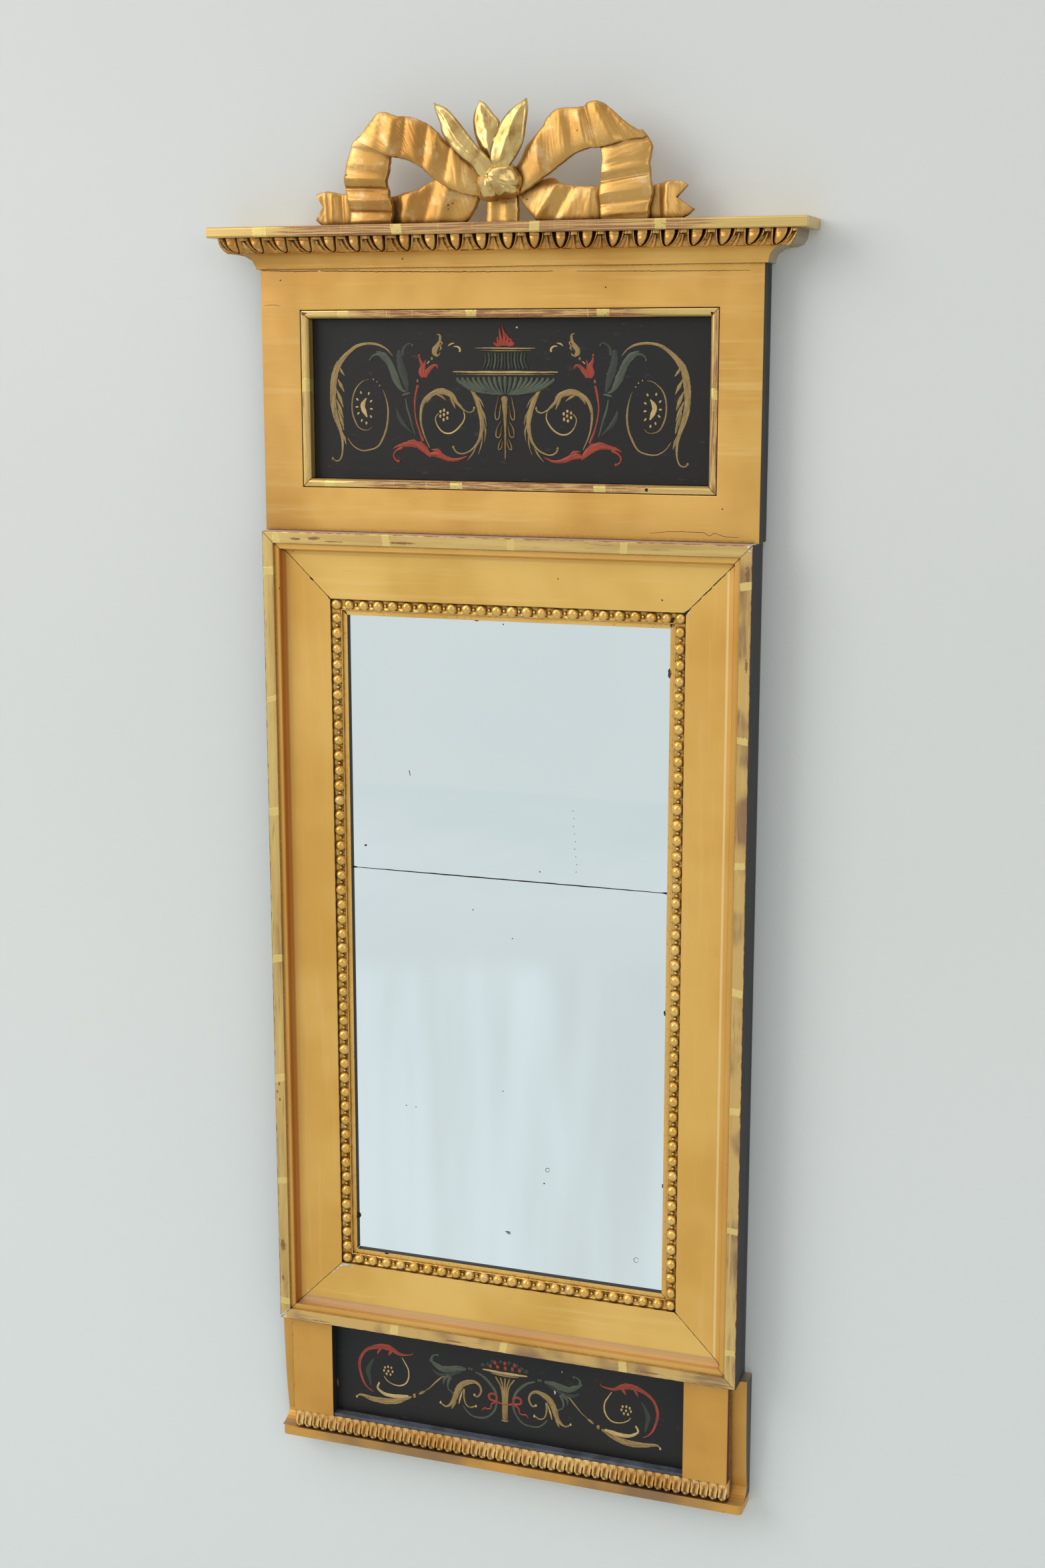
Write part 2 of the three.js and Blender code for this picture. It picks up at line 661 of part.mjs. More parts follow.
function buildCrest() {
  const half = ribbonHalf();
  addPiece('ribbon_loop_right', half, 'mattGold');
  addPiece('ribbon_loop_left', mirrored(half), 'mattGold');
  const tail = ribbonTail();
  addPiece('ribbon_tail_right', tail, 'mattGold');
  addPiece('ribbon_tail_left', mirrored(tail), 'mattGold');
  for (const [name, leaf] of Object.entries(crestLeaves)) {
    addPiece(name, crestLeaf(leaf), 'burnishedGold');
  }

  const knotBack = bandStations[0].reach + seatGap;
  const knotRings = 6;
  const rings = [];
  for (let i = 0; i < knotRings; i += 1) {
    const tilt = (i / knotRings) * (Math.PI / 2);
    const ring = [];
    for (let j = 0; j < 20; j += 1) {
      const angle = (j / 20) * 2 * Math.PI;
      const fold = 1 + 0.05 * Math.sin(3 * angle - 4 * Math.sin(tilt));
      const radius = knotRadius * fold * Math.cos(tilt);
      ring.push(new THREE.Vector3(
        knotCentre + radius * Math.cos(angle),
        -knotBack - 0.75 * knotRadius * fold * Math.sin(tilt),
        corniceTop + knotRise + 0.92 * radius * Math.sin(angle),
      ));
    }
    rings.push(ring);
  }
  addPiece('crest_knot', loft(rings), 'burnishedGold');

  const postHalf = postWidth / 2;
  addPiece('crest_post', block([knotCentre - postHalf, knotCentre + postHalf],
    [crestBack, crestBack + ribbonThickness], [corniceTop, corniceTop + knotRise]), 'mattGold');
}

buildMainFrame();
buildBeadStrips();
buildCarcass();
buildGlass();
buildFrieze();
buildCornice();
buildPlinth();
buildHanger();
buildCrest();

export default mirror;
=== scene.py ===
# Looks for the gilded trumeau mirror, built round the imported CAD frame. Metres, front towards -Y.
import math
import random

import bpy
import numpy as np
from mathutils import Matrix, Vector, noise
from mathutils.bvhtree import BVHTree


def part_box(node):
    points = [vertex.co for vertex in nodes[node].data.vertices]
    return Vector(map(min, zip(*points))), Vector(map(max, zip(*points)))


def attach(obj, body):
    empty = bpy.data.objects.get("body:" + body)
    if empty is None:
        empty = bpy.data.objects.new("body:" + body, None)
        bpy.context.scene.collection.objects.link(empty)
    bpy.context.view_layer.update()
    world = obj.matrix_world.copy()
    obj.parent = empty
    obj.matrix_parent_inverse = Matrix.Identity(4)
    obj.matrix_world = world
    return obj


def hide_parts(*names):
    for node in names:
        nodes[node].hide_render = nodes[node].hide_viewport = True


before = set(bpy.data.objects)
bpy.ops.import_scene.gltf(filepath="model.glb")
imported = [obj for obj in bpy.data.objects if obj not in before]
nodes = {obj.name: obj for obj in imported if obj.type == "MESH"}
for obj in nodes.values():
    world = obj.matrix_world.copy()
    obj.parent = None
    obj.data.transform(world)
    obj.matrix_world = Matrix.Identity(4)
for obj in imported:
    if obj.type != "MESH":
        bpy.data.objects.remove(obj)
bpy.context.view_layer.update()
mm = 0.001
chance = random.Random(7)
print("frame loaded:", len(nodes), "nodes")


# places that more than one piece needs, read from the frame
mainLow = Vector((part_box("frame_stile_left")[0].x, 0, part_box("frame_rail_bottom")[0].z))
mainHigh = Vector((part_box("frame_stile_right")[1].x, 0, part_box("frame_rail_top")[1].z))
halfWidth = mainHigh.x
halfHeight = (mainHigh.z - mainLow.z) / 2
mainMiddle = (mainHigh.z + mainLow.z) / 2
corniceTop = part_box("cornice_top_board")[1].z
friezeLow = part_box("frieze_border_bottom")[0]
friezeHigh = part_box("frieze_border_top")[1]
friezeFace = friezeLow.y
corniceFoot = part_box("cavetto_front")[0].z


# small helpers for nodes

def put(tree, kind, inputs=None, **settings):
    node = tree.nodes.new(kind)
    for key, value in settings.items():
        setattr(node, key, value)
    for key, value in (inputs or {}).items():
        if isinstance(value, bpy.types.NodeSocket):
            tree.links.new(value, node.inputs[key])
        else:
            node.inputs[key].default_value = value
    return node


def calc(tree, operation, *values):
    node = put(tree, "ShaderNodeMath", dict(enumerate(values)), operation=operation)
    return node.outputs[0]


def times(tree, first, second):
    return calc(tree, "MULTIPLY", first, second)


def stepUp(tree, value, low, high):
    node = put(tree, "ShaderNodeMapRange", {"Value": value, "From Min": low, "From Max": high},
               interpolation_type="SMOOTHSTEP")
    return node.outputs["Result"]


def mixColour(tree, factor, first, second, mode="MIX"):
    node = put(tree, "ShaderNodeMix", {0: factor, 6: first, 7: second}, data_type="RGBA", blend_type=mode)
    return node.outputs[2]


def stretched(tree, vector, scale):
    return put(tree, "ShaderNodeMapping", {"Vector": vector, "Scale": scale}).outputs["Vector"]


def axesOf(tree, vector):
    return put(tree, "ShaderNodeSeparateXYZ", {0: vector}).outputs


def noiseAt(tree, vector, scale, detail=3.0, rough=0.55):
    node = put(tree, "ShaderNodeTexNoise", {"Vector": vector, "Scale": scale, "Detail": detail,
                                            "Roughness": rough})
    return node.outputs["Fac"]


def rgb(red, green, blue):     # written as seen on screen, 0-255
    def linear(value):
        value /= 255
        return value / 12.92 if value <= 0.04045 else ((value + 0.055) / 1.055) ** 2.4
    return (linear(red), linear(green), linear(blue), 1.0)


socketKinds = {"value": "NodeSocketFloat", "colour": "NodeSocketColor", "vector": "NodeSocketVector"}


def makeGroup(name, inputs, outputs):
    tree = bpy.data.node_groups.new(name, "ShaderNodeTree")
    for socketName, kind, value in inputs:
        socket = tree.interface.new_socket(name=socketName, in_out="INPUT", socket_type=socketKinds[kind])
        if value is not None:
            socket.default_value = value
    for socketName, kind in outputs:
        tree.interface.new_socket(name=socketName, in_out="OUTPUT", socket_type=socketKinds[kind])
    start = tree.nodes.new("NodeGroupInput")
    end = tree.nodes.new("NodeGroupOutput")
    return tree, start.outputs, end.inputs


def fillGroup(tree, group, inputs):
    return put(tree, "ShaderNodeGroup", inputs, node_tree=group).outputs


# effects shared by the materials

def buildBrushedStreaks():
    # long soft lines left by the brush and the wood below, as a mask round 0.5 and a height
    tree, given, result = makeGroup("brushedStreaks",
        [("Vector", "vector", None), ("Stretch", "vector", (1, 1, 1)), ("Scale", "value", 200.0)],
        [("Soft", "value"), ("Fine", "value")])
    lines = put(tree, "ShaderNodeVectorMath", {0: given["Vector"], 1: given["Stretch"]}, operation="MULTIPLY")
    tree.links.new(noiseAt(tree, lines.outputs[0], given["Scale"], 4, 0.6), result["Soft"])
    fineScale = times(tree, given["Scale"], 4.3)
    tree.links.new(noiseAt(tree, lines.outputs[0], fineScale, 3, 0.7), result["Fine"])
    return tree


def buildLeafLaps():
    # a narrow band wherever one leaf of gold lies over the next
    tree, given, result = makeGroup("leafLaps",
        [("Vector", "vector", None), ("Along", "value", 0.0), ("Pitch", "value", 0.082),
         ("Phase", "value", 0.0), ("Width", "value", 0.006)],
        [("Mask", "value")])
    wobble = noiseAt(tree, given["Vector"], 9, 1)
    torn = noiseAt(tree, given["Vector"], 900, 2)
    place = calc(tree, "MULTIPLY_ADD", wobble, 0.05, given["Along"])
    place = calc(tree, "MULTIPLY_ADD", torn, 0.0016, place)
    turns = calc(tree, "ADD", calc(tree, "DIVIDE", place, given["Pitch"]), given["Phase"])
    turns = calc(tree, "FRACT", turns)
    half = calc(tree, "DIVIDE", times(tree, given["Width"], 0.5), given["Pitch"])
    away = calc(tree, "ABSOLUTE", calc(tree, "SUBTRACT", turns, 0.5))
    soft = times(tree, half, 0.92)
    mask = put(tree, "ShaderNodeMapRange", {"Value": away, "From Min": half, "From Max": soft})
    tree.links.new(mask.outputs["Result"], result["Mask"])
    return tree


def buildRubbedPatches():
    # patches rubbed through to the bole, drawn out along the length
    tree, given, result = makeGroup("rubbedPatches",
        [("Vector", "vector", None), ("Stretch", "vector", (1, 1, 1)), ("Scale", "value", 60.0),
         ("Amount", "value", 0.4), ("Softness", "value", 0.1)],
        [("Mask", "value")])
    lines = put(tree, "ShaderNodeVectorMath", {0: given["Vector"], 1: given["Stretch"]}, operation="MULTIPLY")
    broad = noiseAt(tree, lines.outputs[0], given["Scale"], 3, 0.55)
    fine = noiseAt(tree, lines.outputs[0], times(tree, given["Scale"], 9.0), 3, 0.75)
    both = calc(tree, "ADD", times(tree, broad, 0.6), times(tree, fine, 0.4))
    level = calc(tree, "SUBTRACT", 0.74, times(tree, given["Amount"], 0.48))
    low = calc(tree, "SUBTRACT", level, given["Softness"])
    high = calc(tree, "ADD", level, given["Softness"])
    tree.links.new(stepUp(tree, both, low, high), result["Mask"])
    return tree


def buildPits():
    # pin holes and specks of dirt in the gesso
    tree, given, result = makeGroup("pits",
        [("Vector", "vector", None), ("Scale", "value", 260.0), ("Size", "value", 0.09)], [("Mask", "value")])
    cells = put(tree, "ShaderNodeTexVoronoi", {"Vector": given["Vector"], "Scale": given["Scale"]})
    patchy = noiseAt(tree, given["Vector"], 55, 2)
    size = times(tree, given["Size"], stepUp(tree, patchy, 0.45, 0.75))
    near = calc(tree, "SUBTRACT", size, cells.outputs["Distance"])
    mask = put(tree, "ShaderNodeMapRange", {"Value": near, "From Min": 0.0, "From Max": 0.04})
    tree.links.new(mask.outputs["Result"], result["Mask"])
    return tree


def buildCreviceDirtAndShade():
    # dark dirt and toned size held in the hollows, with painted shade: an ambient-occlusion mask darkens
    # hollows and creases
    tree, given, result = makeGroup("creviceDirtAndShade",
        [("Vector", "vector", None), ("Reach", "value", 0.004), ("Amount", "value", 1.0)],
        [("Mask", "value")])
    hollow = put(tree, "ShaderNodeAmbientOcclusion", {"Distance": given["Reach"]}, samples=6,
                 only_local=False)
    uneven = noiseAt(tree, given["Vector"], 420, 3)
    openness = calc(tree, "MULTIPLY_ADD", calc(tree, "SUBTRACT", uneven, 0.5), 0.35, hollow.outputs["AO"])
    tree.links.new(times(tree, stepUp(tree, openness, 0.78, 0.32), given["Amount"]), result["Mask"])
    return tree


brushedStreaks = buildBrushedStreaks()
leafLaps = buildLeafLaps()
rubbedPatches = buildRubbedPatches()
pits = buildPits()
creviceDirtAndShade = buildCreviceDirtAndShade()


def emptyMaterial(name):
    material = bpy.data.materials.new(name)
    material.use_nodes = True
    material.node_tree.nodes.clear()
    return material, material.node_tree, put(material.node_tree, "ShaderNodeTexCoord").outputs["Object"]


def newMaterial(name):
    material, tree, place = emptyMaterial(name)
    shader = put(tree, "ShaderNodeBsdfPrincipled")
    put(tree, "ShaderNodeOutputMaterial", {"Surface": shader.outputs["BSDF"]})
    return material, tree, shader.inputs, place


def relief(tree, sockets, height, distance, strength=1.0):
    bump = put(tree, "ShaderNodeBump", {"Height": height, "Distance": distance, "Strength": strength})
    tree.links.new(bump.outputs["Normal"], sockets["Normal"])


goldTones = {
    "matt": rgb(217, 172, 90), "mattDeep": rgb(199, 149, 66), "mattPale": rgb(227, 190, 118),
    "flat": rgb(228, 187, 102), "flatDeep": rgb(210, 164, 77), "flatPale": rgb(233, 200, 128),
    "carved": rgb(206, 154, 78), "carvedDeep": rgb(170, 116, 48),
    "block": rgb(206, 154, 70), "blockDeep": rgb(186, 134, 50),
    "tip": rgb(250, 214, 146), "tipDeep": rgb(226, 180, 106),
    "ribbon": rgb(205, 160, 89), "ribbonDeep": rgb(170, 122, 58), "ribbonPale": rgb(234, 208, 158),
    "burnished": rgb(216, 186, 116), "burnishedDeep": rgb(190, 154, 88),
    "leaf": rgb(216, 187, 122), "leafDeep": rgb(168, 130, 72), "leafWorn": rgb(120, 84, 50),
    "lap": rgb(223, 200, 122), "bead": rgb(228, 184, 102),
    "bole": rgb(142, 92, 64), "redBole": rgb(134, 80, 54),
    "worn": rgb(200, 166, 98), "wornDark": rgb(142, 110, 74), "dirtAndShade": rgb(64, 42, 22),
}


def mattGilding(name, stretch, tone="matt", deep="mattDeep", pale="mattPale", dirtAndShade=0.75, reach=0.004,
                metal=0.45, rough=0.42, pitSize=0.07, rubbedEdge=0.0, darkSides=False, leftPaintedShade=0.0):
    # toned leaf on gesso, laid matt
    material, tree, sockets, place = newMaterial(name)
    streaks = fillGroup(tree, brushedStreaks, {"Vector": place, "Stretch": stretch, "Scale": 150})
    cloud = noiseAt(tree, place, 14, 3)
    colour = mixColour(tree, stepUp(tree, cloud, 0.35, 0.68), goldTones[tone], goldTones[deep])
    paler = times(tree, stepUp(tree, streaks["Soft"], 0.5, 0.8), 0.65)
    colour = mixColour(tree, paler, colour, goldTones[pale])
    darker = times(tree, stepUp(tree, streaks["Fine"], 0.6, 0.78), 0.22)
    colour = mixColour(tree, darker, colour, goldTones["carvedDeep"])
    if rubbedEdge:
        edge = stepUp(tree, put(tree, "ShaderNodeNewGeometry").outputs["Pointiness"], 0.525, 0.6)
        uneven = stepUp(tree, noiseAt(tree, place, 260, 3), 0.36, 0.6)
        edge = times(tree, times(tree, edge, uneven), rubbedEdge)
        colour = mixColour(tree, edge, colour, goldTones["redBole"])
    holes = fillGroup(tree, pits, {"Vector": place, "Scale": 240, "Size": pitSize})["Mask"]
    colour = mixColour(tree, times(tree, holes, 0.75), colour, goldTones["dirtAndShade"])
    # dirt and painted shade: hollows and creases darkened from an ambient-occlusion mask
    hollow = fillGroup(tree, creviceDirtAndShade, {"Vector": place, "Reach": reach, "Amount": dirtAndShade})["Mask"]
    colour = mixColour(tree, hollow, colour, goldTones["dirtAndShade"])
    # painted shade: the left end is darkened toward a brown gold
    if leftPaintedShade:
        x = axesOf(tree, place)[0]
        colour = mixColour(tree, times(tree, stepUp(tree, x, -0.112, -0.145), leftPaintedShade), colour,
                           rgb(150, 104, 46))
    sockets["Metallic"].default_value = metal
    if darkSides:
        facing = axesOf(tree, put(tree, "ShaderNodeTexCoord").outputs["Normal"])
        side = stepUp(tree, calc(tree, "MAXIMUM", calc(tree, "ABSOLUTE", facing[0]), facing[1]), 0.94, 0.97)
        colour = mixColour(tree, side, colour, rgb(38, 38, 40))
        settled = times(tree, stepUp(tree, facing[2], 0.9, 0.97), stepUp(tree, cloud, 0.2, 0.6))
        colour = mixColour(tree, settled, colour, rgb(96, 98, 96))
        tree.links.new(calc(tree, "MULTIPLY_ADD", side, -metal, metal), sockets["Metallic"])
    tree.links.new(colour, sockets["Base Color"])
    roughness = calc(tree, "MULTIPLY_ADD", streaks["Soft"], 0.16, rough - 0.08)
    tree.links.new(calc(tree, "MAXIMUM", roughness, times(tree, hollow, 0.8)), sockets["Roughness"])
    height = calc(tree, "SUBTRACT", times(tree, streaks["Soft"], 0.6), holes)
    height = calc(tree, "MULTIPLY_ADD", streaks["Fine"], 0.3, height)
    relief(tree, sockets, height, 0.00016)
    return material


def brightGilding(name, dirtAndShade=0.8):
    # burnished water gilding on the leaves and the knot
    material, tree, sockets, place = newMaterial(name)
    cloud = noiseAt(tree, place, 70, 3)
    colour = mixColour(tree, stepUp(tree, cloud, 0.42, 0.68), goldTones["leaf"], goldTones["leafDeep"])
    thin = noiseAt(tree, stretched(tree, place, (1, 1, 0.3)), 330, 4, 0.7)
    colour = mixColour(tree, times(tree, stepUp(tree, thin, 0.58, 0.7), 0.55), colour,
                       goldTones["leafWorn"])
    edges = put(tree, "ShaderNodeNewGeometry").outputs["Pointiness"]
    colour = mixColour(tree, times(tree, stepUp(tree, edges, 0.53, 0.6), 0.6), colour,
                       goldTones["leafWorn"])
    # dirt and painted shade: hollows and creases darkened from an ambient-occlusion mask
    hollow = fillGroup(tree, creviceDirtAndShade, {"Vector": place, "Reach": 0.004, "Amount": dirtAndShade})["Mask"]
    colour = mixColour(tree, hollow, colour, rgb(96, 66, 30))
    holes = fillGroup(tree, pits, {"Vector": place, "Scale": 420, "Size": 0.1})["Mask"]
    colour = mixColour(tree, times(tree, holes, 0.6), colour, goldTones["dirtAndShade"])
    tree.links.new(colour, sockets["Base Color"])
    sockets["Metallic"].default_value = 0.9
    tree.links.new(calc(tree, "MULTIPLY_ADD", thin, 0.22, 0.1), sockets["Roughness"])
    relief(tree, sockets, calc(tree, "ADD", cloud, times(tree, thin, 0.08)), 0.00035)
    return material


def rubbedGilding(name, along, stretch, amount, phase, endPale=None):
    # burnished edge mouldings, rubbed down to the bole between the laps of the leaf
    material, tree, sockets, place = newMaterial(name)
    split = axesOf(tree, place)
    rubbed = amount
    if endPale:
        endIn = stepUp(tree, calc(tree, "ABSOLUTE", split[along]), endPale[0], endPale[1])
        rubbed = calc(tree, "SUBTRACT", amount, times(tree, endIn, 0.55))
    wear = {"Vector": place, "Stretch": stretch, "Scale": 45, "Amount": rubbed, "Softness": 0.05}
    patches = fillGroup(tree, rubbedPatches, wear)["Mask"]
    lines = fillGroup(tree, brushedStreaks, {"Vector": place, "Stretch": stretch, "Scale": 260})
    lapInputs = {"Vector": place, "Along": split[along], "Phase": phase, "Width": 0.007}
    laps = fillGroup(tree, leafLaps, lapInputs)["Mask"]
    boleTone = mixColour(tree, stepUp(tree, lines["Fine"], 0.42, 0.6), goldTones["bole"], goldTones["worn"])
    colour = mixColour(tree, stepUp(tree, lines["Soft"], 0.35, 0.7), goldTones["burnished"],
                       goldTones["burnishedDeep"])
    colour = mixColour(tree, patches, colour, boleTone)
    hairs = noiseAt(tree, stretched(tree, place, [0.1 / way for way in stretch]), 420, 2, 0.7)
    scratch = times(tree, stepUp(tree, hairs, 0.66, 0.7), 0.6)
    colour = mixColour(tree, times(tree, scratch, patches), colour, goldTones["lap"])
    lapKept = times(tree, laps, stepUp(tree, noiseAt(tree, place, 700, 2), 0.3, 0.42))
    lapKept = times(tree, lapKept, 0.82)
    colour = mixColour(tree, lapKept, colour, goldTones["lap"])
    # dirt and painted shade: hollows and creases darkened from an ambient-occlusion mask
    hollow = fillGroup(tree, creviceDirtAndShade, {"Vector": place, "Reach": 0.002, "Amount": 0.8})["Mask"]
    colour = mixColour(tree, hollow, colour, goldTones["dirtAndShade"])
    tree.links.new(colour, sockets["Base Color"])
    bare = times(tree, patches, calc(tree, "SUBTRACT", 1.0, lapKept))
    tree.links.new(calc(tree, "MULTIPLY_ADD", bare, -0.45, 0.6), sockets["Metallic"])
    tree.links.new(calc(tree, "MULTIPLY_ADD", bare, 0.16, 0.3), sockets["Roughness"])
    height = calc(tree, "ADD", times(tree, lines["Fine"], 0.5), times(tree, laps, 0.5))
    relief(tree, sockets, height, 0.0001)
    return material


frameFinish = {
    # insets from the outer edge; the painted shade in the left cove and the dust start and end softly
    "fillet": 0.007, "cove": 0.0142, "brightLine": 0.0153, "ledge": 0.040, "sight": 0.0494,
    "leftCoveShadeFrom": (0.0094, 0.0102), "leftCoveShadeTo": (0.0132, 0.0119),
    "dustFrom": (0.0098, 0.0112), "dustTo": (0.0162, 0.0145),
    # rubbed spots: (x, z, half width, half height) in mm
    "brownSpots": [(-128.2, -88.9, 4.6, 1.1), (-115.9, -88.4, 5.6, 1.3), (-103, -90, 9, 0.5),
                   (-60, -89.6, 12, 0.9), (147.4, -101.5, 1.9, 6.6), (147.6, -152, 1.2, 5),
                   (-146.8, -538.5, 2.3, 5.2), (-147.4, -561, 1.0, 2.4), (-121, -586.8, 9, 0.5),
                   (-30, -586, 8, 0.7), (96, -586, 11, 0.8)],
    "redSpots": [(-147, -430.5, 1.1, 2.2), (-148.2, -436, 0.9, 1.7), (-146.6, -441, 0.8, 1.5)],
    "topFace": rgb(176, 152, 140), "sideFace": rgb(34, 34, 35),
}


def spotMask(tree, x, z, spots):
    # ragged spots at given places; x and z are sockets in metres
    edge = noiseAt(tree, put(tree, "ShaderNodeCombineXYZ", {0: x, 2: z}).outputs[0], 560, 5, 0.8)
    mask = None
    for sx, sz, wide, tall in spots:
        across = calc(tree, "DIVIDE", calc(tree, "SUBTRACT", x, sx * mm), wide * mm)
        up = calc(tree, "DIVIDE", calc(tree, "SUBTRACT", z, sz * mm), tall * mm)
        away = calc(tree, "ADD", times(tree, across, across), times(tree, up, up))
        away = calc(tree, "MULTIPLY_ADD", edge, 2.6, calc(tree, "SQRT", away))
        one = stepUp(tree, away, 2.15, 1.85)
        mask = one if mask is None else calc(tree, "MAXIMUM", mask, one)
    return times(tree, mask, 0.8)


def frameGilding():
    # one finish for the four lengths of the main frame: it changes with the distance in from the outer edge
    look = frameFinish
    material, tree, sockets, place = newMaterial("gildedFrame")
    x, y, z = axesOf(tree, place)
    facing = axesOf(tree, put(tree, "ShaderNodeTexCoord").outputs["Normal"])
    insetX = calc(tree, "SUBTRACT", halfWidth, calc(tree, "ABSOLUTE", x))
    insetZ = calc(tree, "SUBTRACT", halfHeight, calc(tree, "ABSOLUTE", calc(tree, "SUBTRACT", z, mainMiddle)))
    inset = calc(tree, "MINIMUM", insetX, insetZ)
    onRail = calc(tree, "LESS_THAN", insetZ, insetX)
    low = times(tree, onRail, calc(tree, "LESS_THAN", z, mainMiddle))

    # wood lines run along each length; the laps repeat every 74 mm on the rails and every 77 mm on the stiles
    railWay = stretched(tree, place, (0.05, 1, 1))
    stileWay = stretched(tree, place, (1, 1, 0.05))
    way = put(tree, "ShaderNodeMix", {0: onRail, 4: stileWay, 5: railWay}, data_type="VECTOR").outputs[1]
    alongRail = calc(tree, "MULTIPLY_ADD", x, 1.109, -0.0152)
    alongStile = calc(tree, "MULTIPLY_ADD", z, 1.069, 0.0287)
    along = put(tree, "ShaderNodeMix", {0: onRail, 2: alongStile, 3: alongRail}, data_type="FLOAT").outputs[0]
    streaks = fillGroup(tree, brushedStreaks, {"Vector": way, "Stretch": (1, 1, 1), "Scale": 170})

    # matt flat
    cloud = noiseAt(tree, place, 12, 3)
    flat = mixColour(tree, stepUp(tree, cloud, 0.35, 0.7), goldTones["flat"], goldTones["flatDeep"])
    paler = times(tree, stepUp(tree, streaks["Soft"], 0.5, 0.8), 0.55)
    flat = mixColour(tree, paler, flat, goldTones["flatPale"])
    onStile = calc(tree, "SUBTRACT", 1.0, onRail)
    flat = mixColour(tree, times(tree, onStile, 0.3), flat, rgb(206, 148, 58))
    darker = times(tree, stepUp(tree, streaks["Fine"], 0.62, 0.8), 0.2)
    flat = mixColour(tree, darker, flat, goldTones["carvedDeep"])
    # painted shade: the cove is toned darker orange
    coveShade = stepUp(tree, inset, look["cove"] + 0.0006, look["cove"] - 0.0012)
    flat = mixColour(tree, times(tree, coveShade, 0.3), flat, rgb(186, 124, 44))
    # painted shade: the cove of the left stile, a deeper orange
    leftCoveShade = times(tree, times(tree, coveShade, onStile), calc(tree, "LESS_THAN", x, 0.0))
    leftCoveShade = times(tree, leftCoveShade, stepUp(tree, inset, *look["leftCoveShadeFrom"]))
    leftCoveShade = times(tree, leftCoveShade, stepUp(tree, inset, *look["leftCoveShadeTo"]))
    flat = mixColour(tree, times(tree, leftCoveShade, 0.7), flat, rgb(160, 90, 26))
    # painted highlight: a pale line where the flat starts on the right stile
    paintedHighlightLine = calc(tree, "ABSOLUTE", calc(tree, "SUBTRACT", inset, look["brightLine"]))
    rightStile = times(tree, onStile, calc(tree, "GREATER_THAN", x, 0.0))
    paintedHighlightLine = times(tree, stepUp(tree, paintedHighlightLine, 0.001, 0.0003), rightStile)
    flat = mixColour(tree, times(tree, paintedHighlightLine, 0.7), flat, rgb(240, 212, 152))
    dusty = times(tree, stepUp(tree, inset, *look["dustFrom"]), stepUp(tree, inset, *look["dustTo"]))
    uneven = stepUp(tree, noiseAt(tree, way, 60, 3), 0.2, 0.5)
    dusty = times(tree, times(tree, dusty, low), uneven)
    flat = mixColour(tree, times(tree, dusty, 0.62), flat, rgb(182, 146, 118))

    # burnished fillet
    worn = calc(tree, "MULTIPLY_ADD", low, 0.26, 0.36)
    worn = calc(tree, "MULTIPLY_ADD", rightStile, 0.14, worn)
    wear = {"Vector": way, "Scale": 42, "Amount": worn, "Softness": 0.07}
    patches = fillGroup(tree, rubbedPatches, wear)["Mask"]
    fillet = mixColour(tree, stepUp(tree, streaks["Soft"], 0.35, 0.7), goldTones["burnished"],
                       goldTones["burnishedDeep"])
    boleTone = mixColour(tree, stepUp(tree, noiseAt(tree, place, 30, 2), 0.45, 0.65), goldTones["worn"],
                         goldTones["wornDark"])
    fillet = mixColour(tree, patches, fillet, boleTone)
    scratches = stepUp(tree, noiseAt(tree, way, 700, 3, 0.7), 0.56, 0.68)
    scratches = times(tree, scratches, stepUp(tree, noiseAt(tree, place, 22, 2), 0.4, 0.62))
    fillet = mixColour(tree, times(tree, scratches, 0.6), fillet, rgb(128, 104, 78))
    fillet = mixColour(tree, spotMask(tree, x, z, look["brownSpots"]), fillet, rgb(120, 82, 56))
    fillet = mixColour(tree, spotMask(tree, x, z, look["redSpots"]), fillet, rgb(150, 62, 44))
    lapWidth = calc(tree, "MULTIPLY_ADD", noiseAt(tree, place, 7, 1), 0.009, 0.0005)
    lapInputs = {"Vector": place, "Along": along, "Phase": 0.31, "Width": lapWidth}
    laps = fillGroup(tree, leafLaps, lapInputs)["Mask"]
    fillet = mixColour(tree, times(tree, laps, 0.8), fillet, goldTones["lap"])
    ragged = calc(tree, "MULTIPLY_ADD", noiseAt(tree, place, 160, 3), -0.0021, inset)
    fillet = mixColour(tree, stepUp(tree, ragged, -0.00035, -0.0008), fillet, goldTones["redBole"])
    onFillet = stepUp(tree, inset, look["fillet"] + 0.0002, look["fillet"] - 0.0001)
    colour = mixColour(tree, onFillet, flat, fillet)

    # pits, dirt and painted shade in the hollows, the speckled bed of the beads
    holes = fillGroup(tree, pits, {"Vector": place, "Scale": 230, "Size": 0.07})["Mask"]
    colour = mixColour(tree, times(tree, holes, 0.7), colour, goldTones["dirtAndShade"])
    onLedge = stepUp(tree, inset, look["ledge"] - 0.0004, look["ledge"])
    speckle = stepUp(tree, noiseAt(tree, place, 620, 4, 0.7), 0.54, 0.72)
    colour = mixColour(tree, times(tree, onLedge, times(tree, speckle, 0.5)), colour,
                       goldTones["dirtAndShade"])
    # dirt and painted shade: hollows and creases darkened from an ambient-occlusion mask
    hollow = fillGroup(tree, creviceDirtAndShade, {"Vector": place, "Reach": 0.003, "Amount": 0.8})["Mask"]
    colour = mixColour(tree, hollow, colour, goldTones["dirtAndShade"])

